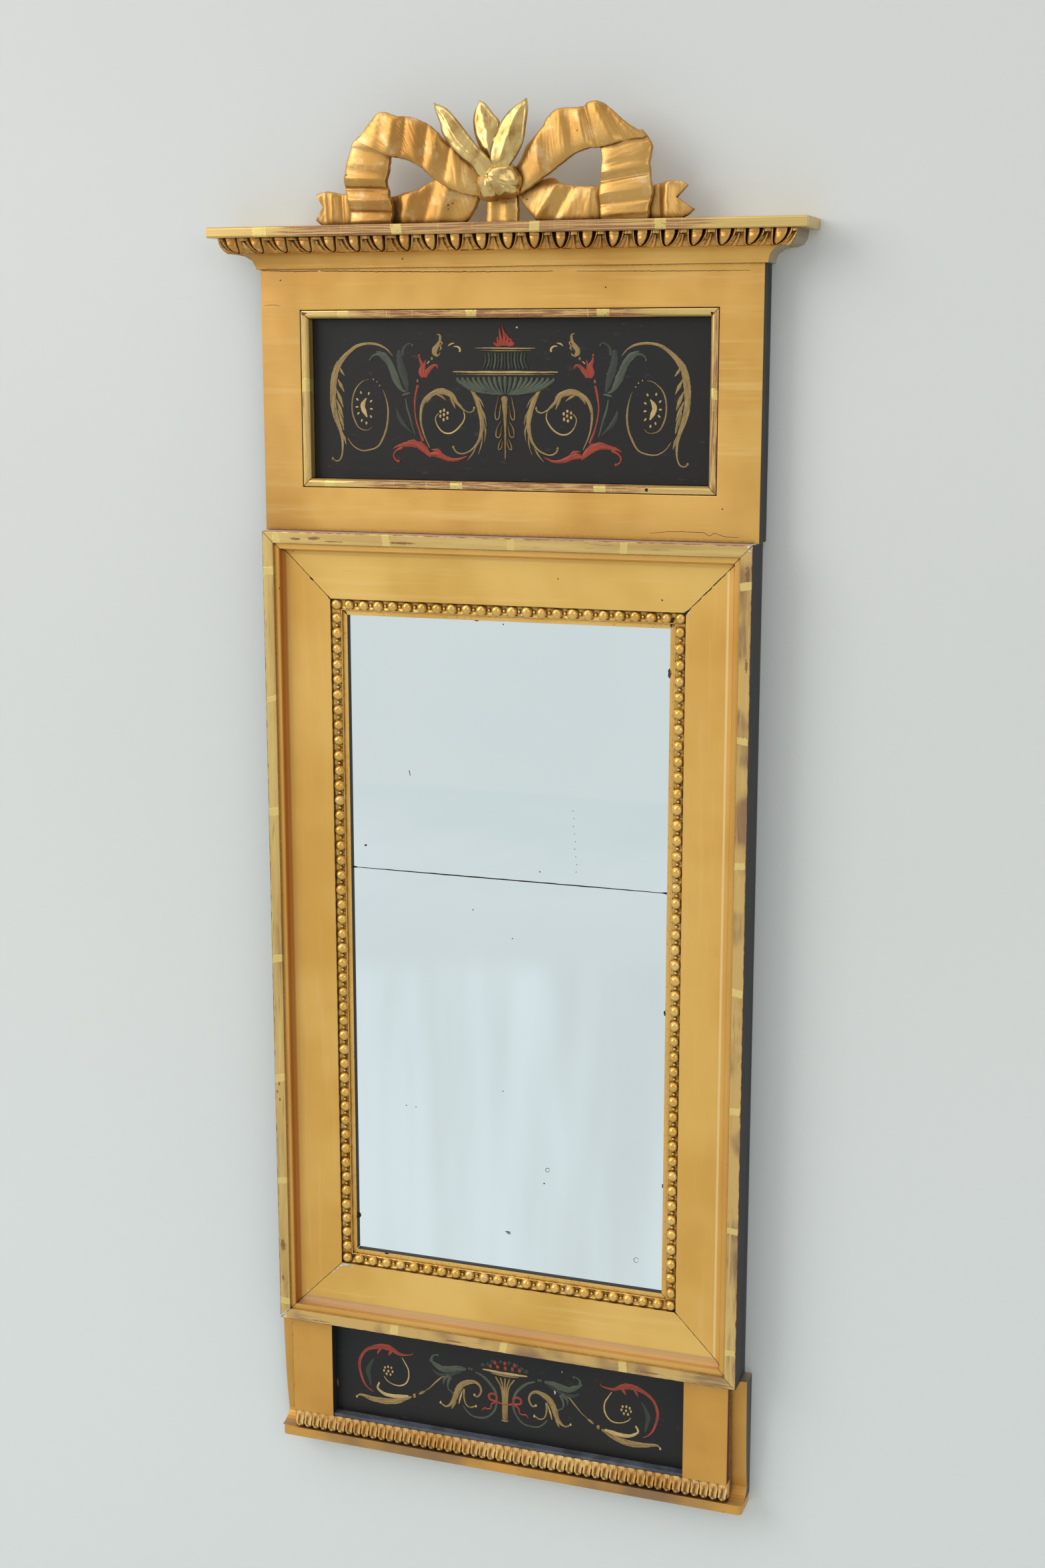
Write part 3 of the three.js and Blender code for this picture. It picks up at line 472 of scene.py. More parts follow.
    # outer sides and the black edge against the glass
    sideways = stepUp(tree, calc(tree, "ABSOLUTE", facing[0]), 0.6, 0.75)
    upright = stepUp(tree, facing[2], 0.6, 0.75)
    downward = stepUp(tree, times(tree, facing[2], -1.0), 0.6, 0.75)
    outerEdge = stepUp(tree, inset, 0.0012, 0.0006)
    isSide = times(tree, sideways, outerEdge)
    isUnder = times(tree, downward, outerEdge)
    isTop = times(tree, upright, outerEdge)
    colour = mixColour(tree, calc(tree, "MAXIMUM", isSide, isUnder), colour, look["sideFace"])
    colour = mixColour(tree, isTop, colour, look["topFace"])
    atGlass = stepUp(tree, inset, look["sight"] - 0.0001, look["sight"] + 0.0002)
    level = calc(tree, "MAXIMUM", upright, downward)
    facingGlass = times(tree, atGlass, calc(tree, "MAXIMUM", sideways, level))
    colour = mixColour(tree, facingGlass, colour, rgb(22, 22, 22))
    tree.links.new(colour, sockets["Base Color"])

    painted = isSide
    for other in (isUnder, isTop, facingGlass):
        painted = calc(tree, "MAXIMUM", painted, other)
    bare = calc(tree, "MAXIMUM", painted, times(tree, times(tree, patches, onFillet), 0.7))
    metal = calc(tree, "MULTIPLY_ADD", onFillet, 0.15, 0.45)
    tree.links.new(times(tree, metal, calc(tree, "SUBTRACT", 1.0, bare)), sockets["Metallic"])
    rough = calc(tree, "MULTIPLY_ADD", streaks["Soft"], 0.15, 0.34)
    rough = calc(tree, "MULTIPLY_ADD", onFillet, -0.1, rough)
    tree.links.new(calc(tree, "MAXIMUM", rough, times(tree, painted, 0.6)), sockets["Roughness"])
    height = calc(tree, "SUBTRACT", times(tree, streaks["Soft"], 0.6), holes)
    height = calc(tree, "MULTIPLY_ADD", laps, times(tree, onFillet, 0.5), height)
    height = calc(tree, "MULTIPLY_ADD", streaks["Fine"], 0.3, height)
    relief(tree, sockets, height, 0.00014)
    return material


def plainWood(name, light, dark, stretch, rough=0.8, dust=0.0, scale=60):
    # pine, bare, washed or stained
    material, tree, sockets, place = newMaterial(name)
    grain = fillGroup(tree, brushedStreaks, {"Vector": place, "Stretch": stretch, "Scale": scale})
    rings = noiseAt(tree, stretched(tree, place, stretch), scale * 0.35, 2)
    wave = calc(tree, "FRACT", times(tree, rings, 7.0))
    tone = calc(tree, "ADD", times(tree, grain["Soft"], 0.7), times(tree, wave, 0.25))
    colour = mixColour(tree, stepUp(tree, tone, 0.3, 0.75), light, dark)
    colour = mixColour(tree, times(tree, stepUp(tree, grain["Fine"], 0.6, 0.75), 0.3), colour, dark)
    if dust:
        settled = stepUp(tree, noiseAt(tree, place, 120, 4), 0.45, 0.7)
        colour = mixColour(tree, times(tree, settled, dust), colour, rgb(150, 145, 138))
    tree.links.new(colour, sockets["Base Color"])
    sockets["Roughness"].default_value = rough
    height = calc(tree, "ADD", grain["Soft"], times(tree, grain["Fine"], 0.5))
    relief(tree, sockets, height, 0.0002)
    return material


def blackPanel():
    material, tree, sockets, place = newMaterial("blackPanel")
    cloud = noiseAt(tree, place, 22, 4)
    colour = mixColour(tree, stepUp(tree, cloud, 0.38, 0.66), rgb(19, 15, 12), rgb(15, 15, 17))
    scuffs = noiseAt(tree, stretched(tree, place, (0.35, 1, 1)), 260, 4, 0.7)
    colour = mixColour(tree, times(tree, stepUp(tree, scuffs, 0.6, 0.74), 0.35), colour, rgb(74, 62, 50))
    specks = fillGroup(tree, pits, {"Vector": place, "Scale": 420, "Size": 0.09})["Mask"]
    colour = mixColour(tree, times(tree, specks, 0.4), colour, rgb(120, 122, 126))
    tree.links.new(colour, sockets["Base Color"])
    tree.links.new(calc(tree, "MULTIPLY_ADD", cloud, 0.3, 0.36), sockets["Roughness"])
    sockets["Specular IOR Level"].default_value = 0.38
    relief(tree, sockets, calc(tree, "ADD", scuffs, times(tree, cloud, 2.0)), 0.00012)
    return material


def ornamentPaint(name, tone, thin):
    # the brush leaves lines along each touch and lets the black ground through
    material, tree, sockets, place = newMaterial(name)
    brush = put(tree, "ShaderNodeAttribute", attribute_name="brush").outputs["Vector"]
    lines = noiseAt(tree, stretched(tree, brush, (0.12, 1.6, 1)), 1.0, 3, 0.65)
    colour = mixColour(tree, stepUp(tree, lines, 0.38, 0.66), tone, thin)
    patchy = noiseAt(tree, place, 700, 3, 0.65)
    thinness = calc(tree, "MULTIPLY_ADD", patchy, 0.7, lines)
    bare = times(tree, stepUp(tree, thinness, 0.92, 1.1), 0.8)
    colour = mixColour(tree, bare, colour, rgb(22, 21, 20))
    tree.links.new(colour, sockets["Base Color"])
    sockets["Roughness"].default_value = 0.55
    return material


def oldGlass():
    # silvered glass with a few dark spots in the silver
    material, tree, sockets, place = newMaterial("oldGlass")
    cloud = noiseAt(tree, place, 6, 3)
    colour = mixColour(tree, cloud, rgb(228, 236, 237), rgb(238, 243, 243))
    spots = put(tree, "ShaderNodeTexVoronoi", {"Vector": place, "Scale": 38})
    rare = stepUp(tree, noiseAt(tree, place, 17, 2), 0.66, 0.72)
    size = calc(tree, "MULTIPLY_ADD", noiseAt(tree, place, 900, 3), 0.09, -0.015)
    spot = times(tree, rare, calc(tree, "LESS_THAN", spots.outputs["Distance"], size))
    colour = mixColour(tree, spot, colour, rgb(70, 72, 72))
    tree.links.new(colour, sockets["Base Color"])
    sockets["Metallic"].default_value = 1.0
    tree.links.new(calc(tree, "MULTIPLY_ADD", spot, 0.4, 0.02), sockets["Roughness"])
    relief(tree, sockets, noiseAt(tree, place, 5, 1), 0.0002, 0.3)
    return material


def ironMaterial():
    material, tree, sockets, place = newMaterial("oldIron")
    rust = noiseAt(tree, place, 500, 4, 0.65)
    tree.links.new(mixColour(tree, stepUp(tree, rust, 0.45, 0.65), rgb(58, 54, 52), rgb(104, 70, 50)),
                   sockets["Base Color"])
    tree.links.new(mixColour(tree, rust, (0.9, 0.9, 0.9, 1), (0.3, 0.3, 0.3, 1)), sockets["Metallic"])
    tree.links.new(calc(tree, "MULTIPLY_ADD", rust, 0.5, 0.3), sockets["Roughness"])
    relief(tree, sockets, rust, 0.0002)
    return material


def flatTone(name, colour, rough=0.8, other=None, scale=300):
    material, tree, sockets, place = newMaterial(name)
    if other:
        cloud = stepUp(tree, noiseAt(tree, place, scale, 4, 0.65), 0.35, 0.65)
        tree.links.new(mixColour(tree, cloud, colour, other), sockets["Base Color"])
    else:
        sockets["Base Color"].default_value = colour
    sockets["Roughness"].default_value = rough
    return material


alongX = (0.05, 1, 1)
alongZ = (1, 1, 0.05)
gildedFrame = frameGilding()
mattAcross = mattGilding("mattGildingAcross", alongX, metal=0.38, rough=0.48, leftPaintedShade=0.3)
mattUpright = mattGilding("mattGildingUpright", alongZ, tone="block", deep="blockDeep", pale="mattDeep",
                          metal=0.4, darkSides=True)
mattBase = mattGilding("mattGildingBase", alongX, tone="block", deep="wornDark", pale="burnished", metal=0.45,
                       pitSize=0.16, rubbedEdge=0.7)
ribbonGilding = mattGilding("ribbonGilding", (0.6, 1, 0.6), tone="ribbon", deep="ribbonDeep",
                            pale="ribbonPale", reach=0.005, dirtAndShade=0.95, metal=0.78, rough=0.34, pitSize=0.17,
                            rubbedEdge=0.55)
carvedGilding = mattGilding("carvedGilding", (1, 1, 1), tone="carved", deep="carvedDeep", pale="mattPale",
                            reach=0.0035, dirtAndShade=1.0, metal=0.62, rough=0.3, pitSize=0.1)
beadGilding = mattGilding("beadGilding", (1, 1, 1), tone="bead", deep="flatDeep", pale="ribbonPale",
                          reach=0.0022, dirtAndShade=0.85, metal=0.72, rough=0.23, pitSize=0.1)
tipGilding = mattGilding("tipGilding", (1, 1, 1), tone="tip", deep="tipDeep", pale="ribbonPale",
                         reach=0.0018, dirtAndShade=0.8, metal=0.64, rough=0.22, pitSize=0.05)
brightGold = brightGilding("brightGilding")
rubbedBoard = rubbedGilding("rubbedGildingCornice", 0, (0.018, 1, 1), 0.76, 0.93, endPale=(0.10, 0.16))
rubbedAcross = rubbedGilding("rubbedGildingAcross", 0, alongX, 0.78, 0.45, endPale=(0.06, 0.12))
rubbedUpright = rubbedGilding("rubbedGildingUpright", 2, alongZ, 0.5, 0.2)
barePine = plainWood("barePine", rgb(156, 124, 84), rgb(108, 80, 50), (1, 1, 0.04))
barePineAcross = plainWood("barePineAcross", rgb(150, 120, 82), rgb(104, 78, 50), (0.04, 1, 1))
corniceEnd = plainWood("corniceEnd", rgb(162, 150, 128), rgb(120, 104, 80), (1, 0.05, 1), dust=0.3)
darkWash = plainWood("darkWash", rgb(56, 56, 54), rgb(40, 40, 39), (1, 1, 0.04), rough=0.7)
blackWash = plainWood("blackWash", rgb(36, 36, 37), rgb(22, 22, 23), (1, 1, 0.04), rough=0.55)
panelBlack = blackPanel()
silvered = oldGlass()
iron = ironMaterial()
dustySill = flatTone("dustySill", rgb(58, 62, 70), 0.75, rgb(84, 90, 100), scale=90)
crackDark = flatTone("crackDark", rgb(34, 24, 16), 0.95)
wornBole = flatTone("wornBole", rgb(112, 68, 40), 0.8, rgb(146, 100, 64), scale=400)
gesso = flatTone("gesso", rgb(214, 208, 196), 0.9, rgb(180, 168, 148))
print("materials ready")


# small helpers for meshes

def linked(item):
    bpy.context.scene.collection.objects.link(item)
    return item


def addPiece(name, verts, faces, material, replaced=(), slot="matt_gold", body="frame", sharp=50):
    mesh = bpy.data.meshes.new(name)
    mesh.from_pydata([tuple(v) for v in verts], [], faces)
    mesh.materials.append(material)
    mesh.polygons.foreach_set("use_smooth", [True] * len(mesh.polygons))
    mesh.set_sharp_from_angle(angle=math.radians(sharp))
    piece = linked(bpy.data.objects.new(name, mesh))
    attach(piece, body)
    if replaced:
        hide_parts(*replaced)
    return piece


class Shell:     # gathers closed skins into one mesh
    def __init__(self):
        self.verts = []
        self.faces = []

    def loft(self, rings, closedLoop=False, stripEnds=False):
        # a skin through rings of points; open ends get a cap, as one face or as a strip from front to back
        start = len(self.verts)
        size = len(rings[0])
        count = len(rings)
        for ring in rings:
            self.verts.extend(ring)
        skin = []
        for r in range(count if closedLoop else count - 1):
            a = start + r * size
            b = start + ((r + 1) % count) * size
            for i in range(size):
                j = (i + 1) % size
                skin.append((a + i, a + j, b + j, b + i))
        last = start + (count - 1) * size
        if stripEnds:
            for j in range(size // 2 - 1):
                corners = (j, j + 1, size - 2 - j, size - 1 - j)
                skin.append(tuple(start + k for k in reversed(corners)))
                skin.append(tuple(last + k for k in corners))
        elif not closedLoop:
            skin.append(tuple(range(start + size - 1, start - 1, -1)))
            skin.append(tuple(range(last, last + size)))
        if volumeOf(self.verts, skin) < 0:
            skin = [face[::-1] for face in skin]
        self.faces.extend(skin)

    def dome(self, centre, radii, away=None, steps=(16, 8)):
        # a ball drawn out along each axis; `away` moves the points of its skin by a rule
        rings = []
        for i in range(1, steps[1]):
            tilt = math.pi * i / steps[1]
            ring = []
            for j in range(steps[0]):
                turn = 2 * math.pi * j / steps[0]
                out = math.sin(tilt)
                unit = Vector((out * math.cos(turn), -math.cos(tilt), out * math.sin(turn)))
                scale = 1 + (away(unit) if away else 0)
                ring.append(centre + Vector(way * radius for way, radius in zip(unit, radii)) * scale)
            rings.append(ring)
        self.loft(rings)

    def add(self, name, material, **options):
        return addPiece(name, self.verts, self.faces, material, **options)


def volumeOf(verts, faces):
    total = 0.0
    for face in faces:
        first = Vector(verts[face[0]])
        for i in range(1, len(face) - 1):
            total += first.dot(Vector(verts[face[i]]).cross(Vector(verts[face[i + 1]])))
    return total


def smoothPath(points, count):
    # a smooth curve through a few points, resampled to even steps
    p = np.array(points, float)
    if len(p) > 2:
        extended = np.vstack([2 * p[0] - p[1], p, 2 * p[-1] - p[-2]])
        fine = []
        for i in range(1, len(extended) - 2):
            a, b, c, d = extended[i - 1], extended[i], extended[i + 1], extended[i + 2]
            for t in np.linspace(0, 1, 16, endpoint=False):
                fine.append(0.5 * (2 * b + (c - a) * t + (2 * a - 5 * b + 4 * c - d) * t * t
                                   + (3 * b - a - 3 * c + d) * t ** 3))
        fine.append(p[-1])
        p = np.array(fine)
    gone = np.concatenate([[0], np.cumsum(np.linalg.norm(np.diff(p, axis=0), axis=1))])
    at = np.linspace(0, gone[-1], count)
    return np.stack([np.interp(at, gone, p[:, k]) for k in range(p.shape[1])], axis=1)


def spread(values, count):
    # a few values, read off at even steps along a path
    return np.interp(np.linspace(0, 1, count), np.linspace(0, 1, len(values)), values)


def ripple(x, y, z, size, height):
    return noise.noise(Vector((x / size, y / size, z / size))) * height


def roundEdges(node, width, segments=2, angle=30):
    weld = node.modifiers.new("weld", "WELD")
    weld.merge_threshold = 0.00001
    bevel = node.modifiers.new("roundedEdges", "BEVEL")
    bevel.width = width
    bevel.segments = segments
    bevel.limit_method = "ANGLE"
    bevel.angle_limit = math.radians(angle)
    bevel.harden_normals = True


def dress(material, *names, edge=0.0004, segments=2, angle=30):
    for name in names:
        node = nodes[name]
        node.data.materials.clear()
        node.data.materials.append(material)
        if edge:
            roundEdges(node, edge, segments, angle)


# main frame, carcass and glass

dress(gildedFrame, "frame_rail_top", "frame_rail_bottom", "frame_stile_left", "frame_stile_right",
      edge=0.00025)
dress(darkWash, "carcass_stile_left", "carcass_stile_right")
dress(barePineAcross, "carcass_rail_top", "carcass_rail_bottom")
dress(barePine, "backboard", edge=0.0003)
dress(silvered, "glass_upper", "glass_lower", edge=0.0)
dress(blackWash, "frieze_board", edge=0.0005)
dress(barePineAcross, "plinth_board", edge=0.0005)
dress(panelBlack, "frieze_panel", "plinth_panel", edge=0.0002)
dress(dustySill, "plinth_sill", edge=0.0002)
print("frame dressed")


# bead strips

beadRow = {
    "pitch": 0.0093, "radius": 0.0034, "rise": 0.0033, "width": 0.0066,
    "spacer": 0.00105, "unevenness": 0.05, "sway": 0.00018,
}


def buildBeadStrip(side):
    look = beadRow
    low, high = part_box(f"bead_strip_{side}")
    shell = Shell()
    sideways = side in ("top", "bottom")
    a, b = (low.x, high.x) if sideways else (low.z, high.z)
    bedFace = high.y
    centre = (low.z + high.z) / 2 if sideways else (low.x + high.x) / 2
    outerSign = {"top": 1, "bottom": -1, "left": -1, "right": 1}[side]

    def at(along, across, reach):
        # across counts outwards from the middle of the strip
        if sideways:
            return Vector((along, bedFace - reach, centre + outerSign * across))
        return Vector((centre + outerSign * across, bedFace - reach, along))

    half = look["width"] / 2
    steps = 260 if sideways else 520
    rings = []
    for i in range(steps + 1):
        t = i / steps
        ring = []
        for across, reach in ((half, 0), (half, 1.35), (half * 0.86, 1.5), (half * 0.7, 0.75), (0, 0.55),
                              (-half * 0.7, 0.75), (-half * 0.86, 1.4), (-half, 1.2), (-half, 0)):
            inset = (half - across)
            along = a + inset + (b - a - 2 * inset) * t
            worn = ripple(along, across, 0, 0.0022, 0.28) if reach else 0
            drift = ripple(along, 3 * across, 1, 0.004, 0.00022) if reach else 0
            ring.append(at(along, across + drift, (reach + worn * 0.8) * mm))
        rings.append(ring)
    shell.loft(rings)

    rowLength = (b - a) - 2 * look["width"]
    count = int(rowLength / look["pitch"])
    pitch = rowLength / count
    for i in range(count):
        along = a + look["width"] + (i + 0.5) * pitch + chance.uniform(-1, 1) * look["sway"]
        size = 1 + chance.uniform(-1, 1) * look["unevenness"]
        middle = at(along, chance.uniform(-1, 1) * look["sway"], 0.75 * mm)
        seed = Vector((i * 3.1, outerSign, len(side)))
        radii = [look["radius"] * size * (1 + chance.uniform(-0.04, 0.04)) for _ in range(3)]
        radii[1] = look["rise"] * size * 0.98

        def uneven(u):
            return 0.045 * noise.noise(u * 1.6 + seed) + 0.02 * noise.noise(u * 5 + seed)

        shell.dome(middle, radii, uneven, steps=(18, 12))
        if i:
            shell.dome(at(along - pitch / 2, 0, 1.0 * mm), (look["spacer"],) * 3, steps=(8, 6))
    # one more bead where this strip meets the next
    if sideways:
        for end, sign in ((a, 1), (b, -1)):
            shell.dome(at(end + sign * 0.0031, 0, 0.75 * mm),
                       (look["radius"], look["rise"], look["radius"]), steps=(18, 12))
    shell.add(f"beadRow{side.capitalize()}", beadGilding, replaced=(f"bead_strip_{side}",), sharp=60)


for beadSide in ("top", "bottom", "left", "right"):
    buildBeadStrip(beadSide)
print("bead strips done")


# frieze: one gilded face over the planted borders

friezeLook = {"edge": 0.0005, "gap": 0.00025}     # gap: left open round the small moulding


def buildFriezeFace():
    look = friezeLook
    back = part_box("frieze_board")[0].y
    outer = [(friezeLow.x, friezeLow.z), (friezeHigh.x, friezeLow.z), (friezeHigh.x, friezeHigh.z),
             (friezeLow.x, friezeHigh.z)]
    gap = look["gap"]
    left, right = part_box("frieze_moulding_left")[0].x - gap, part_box("frieze_moulding_right")[1].x + gap
    low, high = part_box("frieze_moulding_bottom")[0].z - gap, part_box("frieze_moulding_top")[1].z + gap
    hole = [(left, low), (right, low), (right, high), (left, high)]
    edge = look["edge"]

    def rounded(corners, grow):
        # (how far the loop is drawn in from the corner line, how far back from the face)
        loops = []
        for inset, depth in grow:
            xs = [corners[0][0], corners[1][0]]
            zs = [corners[0][1], corners[2][1]]
            loops.append([Vector((x, friezeFace + depth, z)) for x, z in (
                (xs[0] + inset, zs[0] + inset), (xs[1] - inset, zs[0] + inset),
                (xs[1] - inset, zs[1] - inset), (xs[0] + inset, zs[1] - inset))])
        return loops

    curve = [(edge * (1 - math.cos(a)), edge * (1 - math.sin(a))) for a in np.linspace(0, math.pi / 2, 4)]
    outerLoops = rounded(outer, [(0, back - friezeFace)] + curve)
    holeLoops = rounded(hole, [(-i, d) for i, d in reversed(curve)] + [(0, back - friezeFace)])
    shell = Shell()
    shell.loft(outerLoops + holeLoops, closedLoop=True)
    borders = ("frieze_border_top", "frieze_border_bottom", "frieze_border_left", "frieze_border_right")
    piece = shell.add("friezeFace", mattAcross, replaced=borders, sharp=40)
    piece.data.materials.append(darkWash)
    for face in piece.data.polygons:     # the ends were never gilded
        if abs(face.normal.x) > 0.95 and abs(face.center.x) > friezeHigh.x - edge * 2:
            face.material_index = 1


buildFriezeFace()
dress(rubbedAcross, "frieze_moulding_top", "frieze_moulding_bottom", edge=0.0002)
dress(rubbedUpright, "frieze_moulding_left", "frieze_moulding_right", edge=0.0002)
print("frieze done")


# cornice

cornice = {
    "returnRatio": 1.5, "eggs": 22, "eggRise": 0.0019, "grooveDepth": 0.0034, "rimRise": 0.0008,
    "betweenDepth": 0.0009, "dartRise": 0.0007, "wander": 0.05, "capFrom": 0.80, "endGap": 0.00015,
}


def eggColumns(level, grow):
    # half of one unit at a level (0 foot, 1 top)
    # each column: (share of the pitch from the egg's middle, how far it stands out)
    look = cornice

    def rounded(top, low, reach):
        if level <= low:
            return 0.0
        return math.sqrt(max(0.0, 1 - (max(0.0, top - level) / reach) ** 2))

    egg = 0.190 * grow * rounded(0.90, 0.07, 0.83)
    inner = 0.285 * rounded(1.0, 0.03, 0.97) + 0.03 * level
    rim = 0.052 if level > 0.03 else 0.02
    outer = min(0.47, inner + rim)
    dart = 0.10 * max(0.0, 1 - level / 0.74)
    bulge = look["eggRise"] * (0.45 + 0.55 * math.sin(math.pi * min(1, level * 1.15 + 0.1)))
    deep = look["grooveDepth"] * (0.25 + 0.75 * level ** 0.8) if inner > egg + 0.01 else 0.0
    between = look["rimRise"] * 0.7 if level > look["capFrom"] else -look["betweenDepth"]
    columns = [(egg * share, bulge * math.sqrt(1 - (share * 0.96) ** 2))
               for share in (0, 0.3, 0.58, 0.8, 0.93)]
    gap = inner - egg
    rise = look["rimRise"]
    columns += [(egg, 0.0), (egg + gap * 0.15, -deep), (egg + gap * 0.5, -deep * 1.05),
                (inner - gap * 0.12, -deep * 0.85), (inner, rise * 0.4), (inner + rim * 0.3, rise),
                (inner + rim * 0.7, rise), (outer, rise * 0.3)]
    rest = 0.5 - outer
    foot = min(rest * 0.85, dart + 0.02)
    dartUp = look["dartRise"] if dart > 0 else between
    columns += [(outer + rest * 0.12, between), (0.5 - foot, between),
                (0.5 - foot * 0.75, (between + dartUp) / 2), (0.5 - foot * 0.3, dartUp), (0.5, dartUp)]
    return columns


def sweepRing(profile, along, ratio, half, carved=None):
    # profile: (distance out from the frieze, height) in mm from the foot of the cavetto
    ring = []
    for index, (out, height) in enumerate(profile):
        share, stand = (along, 0) if carved is None else carved(index)
        reach = out * mm + stand
        x = share * (half + ratio * (out * mm + 0.5 * stand) - cornice["endGap"])
        wave = ripple(x, height, 0, 0.05, 0.00022) + ripple(x, height, 4, 0.011, 0.00007) if out else 0
        ring.append(Vector((x, friezeFace - reach + wave, corniceFoot + height * mm + wave * 0.5)))
    return ring


def buildCornice():
    look = cornice
    half = friezeHigh.x
    profile = [(0, 0), (1.35, 0), (1.5, 0.2), (1.5, 1.5)]
    for a in np.linspace(0, 1, 12):
        turn = a * math.pi / 2
        profile.append((1.6 + 6.4 * (1 - math.cos(turn)), 1.5 + 7.0 * math.sin(turn)))
    profile.append((0, 8.5))
    shell = Shell()
    shell.loft([sweepRing(profile, 1 - 2 * i / 240, look["returnRatio"], half) for i in range(241)])
    shell.add("cavettoFront", mattAcross, replaced=("cavetto_front",), sharp=45)

    extra = [0.02, 0.035, 0.09, look["capFrom"] - 0.02, look["capFrom"] + 0.01]
    levels = sorted(set(list(np.linspace(0, 1, 19)) + extra))
    profile = [(0, 8.5), (9.2, 8.5)]
    for level in levels:
        profile.append((10.0 + 3.3 * math.sin(level * math.pi / 2) ** 0.8, 8.55 + 8.9 * level))
    profile.append((0, 17.5))
    rings = []
    for unit in range(look["eggs"]):
        grow = 1 + chance.uniform(-0.06, 0.06)
        shift = chance.uniform(-1, 1) * look["wander"] * 0.4
        lean = chance.uniform(-1, 1) * 0.02
        tables = [eggColumns(level, grow) for level in levels]
        for side in (-1, 1):
            order = range(len(tables[0]))
            for column in (reversed(order) if side < 0 else order):
                if side > 0 and column == 0:
                    continue
                if unit and side < 0 and column == len(tables[0]) - 1:
                    continue

                def carved(index):
                    inside = 2 <= index < 2 + len(levels)
                    level = levels[index - 2] if inside else (0 if index < 2 else 1)
                    columns = tables[index - 2] if inside else eggColumns(level, grow)
                    share, stand = columns[column]
                    drift = (shift + lean * level) * (1 - (2 * share) ** 4)
                    where = (unit + 0.5 + side * share + drift) / look["eggs"]
                    soft = 0.00013 * noise.noise(Vector((where * 900, level * 6, 1)))
                    return 2 * where - 1, (stand + soft if inside else 0)

                rings.append(sweepRing(profile, 0, look["returnRatio"], half, carved))
    shell = Shell()
    shell.loft(rings)
    shell.add("eggAndDart", carvedGilding, replaced=("egg_and_dart",), sharp=55)
    dress(corniceEnd, "cavetto_return_left", "cavetto_return_right", "ovolo_return_left",
          "ovolo_return_right", edge=0.0002, angle=50)
    dress(rubbedBoard, "cornice_top_board", edge=0.0003)


buildCornice()
print("cornice done")


# plinth

plinth = {
    "tips": 50, "stepsPerTip": 24, "tipRise": 0.0010, "tipGap": 0.0034, "rimRise": 0.0013, "valley": 0.0006,
    "levels": 22, "sway": 0.05,
}


def leafTip(phase, level):
    # a tongue with a raised rim like a narrow U; the rims open at the top and arch over to the next tongue.
    # phase is -0.5 to 0.5 of the pitch, level 0 at the foot
    look = plinth
    shifted = phase + look["sway"] * math.sin(2 * math.pi * level)
    away = abs(shifted)
    opened = min(1.0, max(0.0, (level - 0.55) / 0.4)) ** 2
    half = 0.47 if level > 0.28 else 0.47 * math.sqrt(max(0.0, 1 - ((0.28 - level) / 0.28) ** 2))
    between = max(0.0, away - half + 0.05)
    gap = -look["tipGap"] * min(1, between / 0.09) * (1 - min(1, max(0, (level - 0.25) / 0.35)))
    body = look["tipRise"] * math.sqrt(max(0.0, 1 - (away / 0.52) ** 2)) * (1 - 0.5 * opened)
    rimAt = 0.17 + 0.22 * opened
    if level < 0.32:     # the foot of the U
        rimAway = abs(math.hypot(away, 0.17 * (0.32 - level) / 0.2) - 0.17)
    else:
        rimAway = abs(away - rimAt)
    rim = look["rimRise"] * math.exp(-(rimAway / 0.055) ** 2) * min(1, level * 6)
    valley = -look["valley"] * math.exp(-(away / 0.075) ** 2) * min(1, max(0, level - 0.16) * 6)
    valley *= 1 - 0.6 * opened
    arch = 0.0006 * math.exp(-((0.5 - away) / 0.12) ** 2) * opened
    return body + gap + rim + valley + arch


def buildLeafTips():
    look = plinth
    low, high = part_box("leaf_tip_moulding")
    back = high.y
    face = low.y
    height = high.z - low.z
    steps = look["tips"] * look["stepsPerTip"]
    rings = []
    for i in range(steps + 1):
        x = low.x + (high.x - low.x) * i / steps
        turns = i / look["stepsPerTip"] + 0.12 * noise.noise(Vector((x * 60, 0, 5)))
        phase = turns % 1 - 0.5
        ring = [Vector((x, back, low.z)), Vector((x, face + 0.0062, low.z))]
        for k in range(look["levels"] + 1):
            level = k / look["levels"]
            body = 0.0028 * (1 - math.sin(math.pi * min(1, level * 2.2) / 2)) + 0.0009 * math.sin(
                math.pi * min(1, max(0, (level - 0.25) / 0.75)))
            rough = 0.0001 * noise.noise(Vector((x * 900, level * 5, 3)))
            stand = leafTip(phase, level) + rough
            ring.append(Vector((x, face + 0.0019 + body - stand, low.z + 0.0002 + (height - 0.0003) * level)))
        ring.append(Vector((x, back, high.z)))
        rings.append(ring)
    shell = Shell()
    shell.loft(rings)
    shell.add("leafTips", tipGilding, replaced=("leaf_tip_moulding",), sharp=50)


buildLeafTips()
dress(mattUpright, "plinth_block_left", "plinth_block_right", edge=0.0004)
dress(mattUpright, "plinth_wing_left", "plinth_wing_right", edge=0.0003, angle=50)
dress(mattBase, "base_board", edge=0.0008, segments=3)
print("plinth done")


# crest: outlines are (across, up) in mm from the middle of the cornice's top, picked in the photo and
# projected like the ornament further down

crest = {"handWobble": 0.35}


def crestPoint(across, up, reach):
    return Vector((across * mm, -reach * mm, corniceTop + max(up, 0.25) * mm))


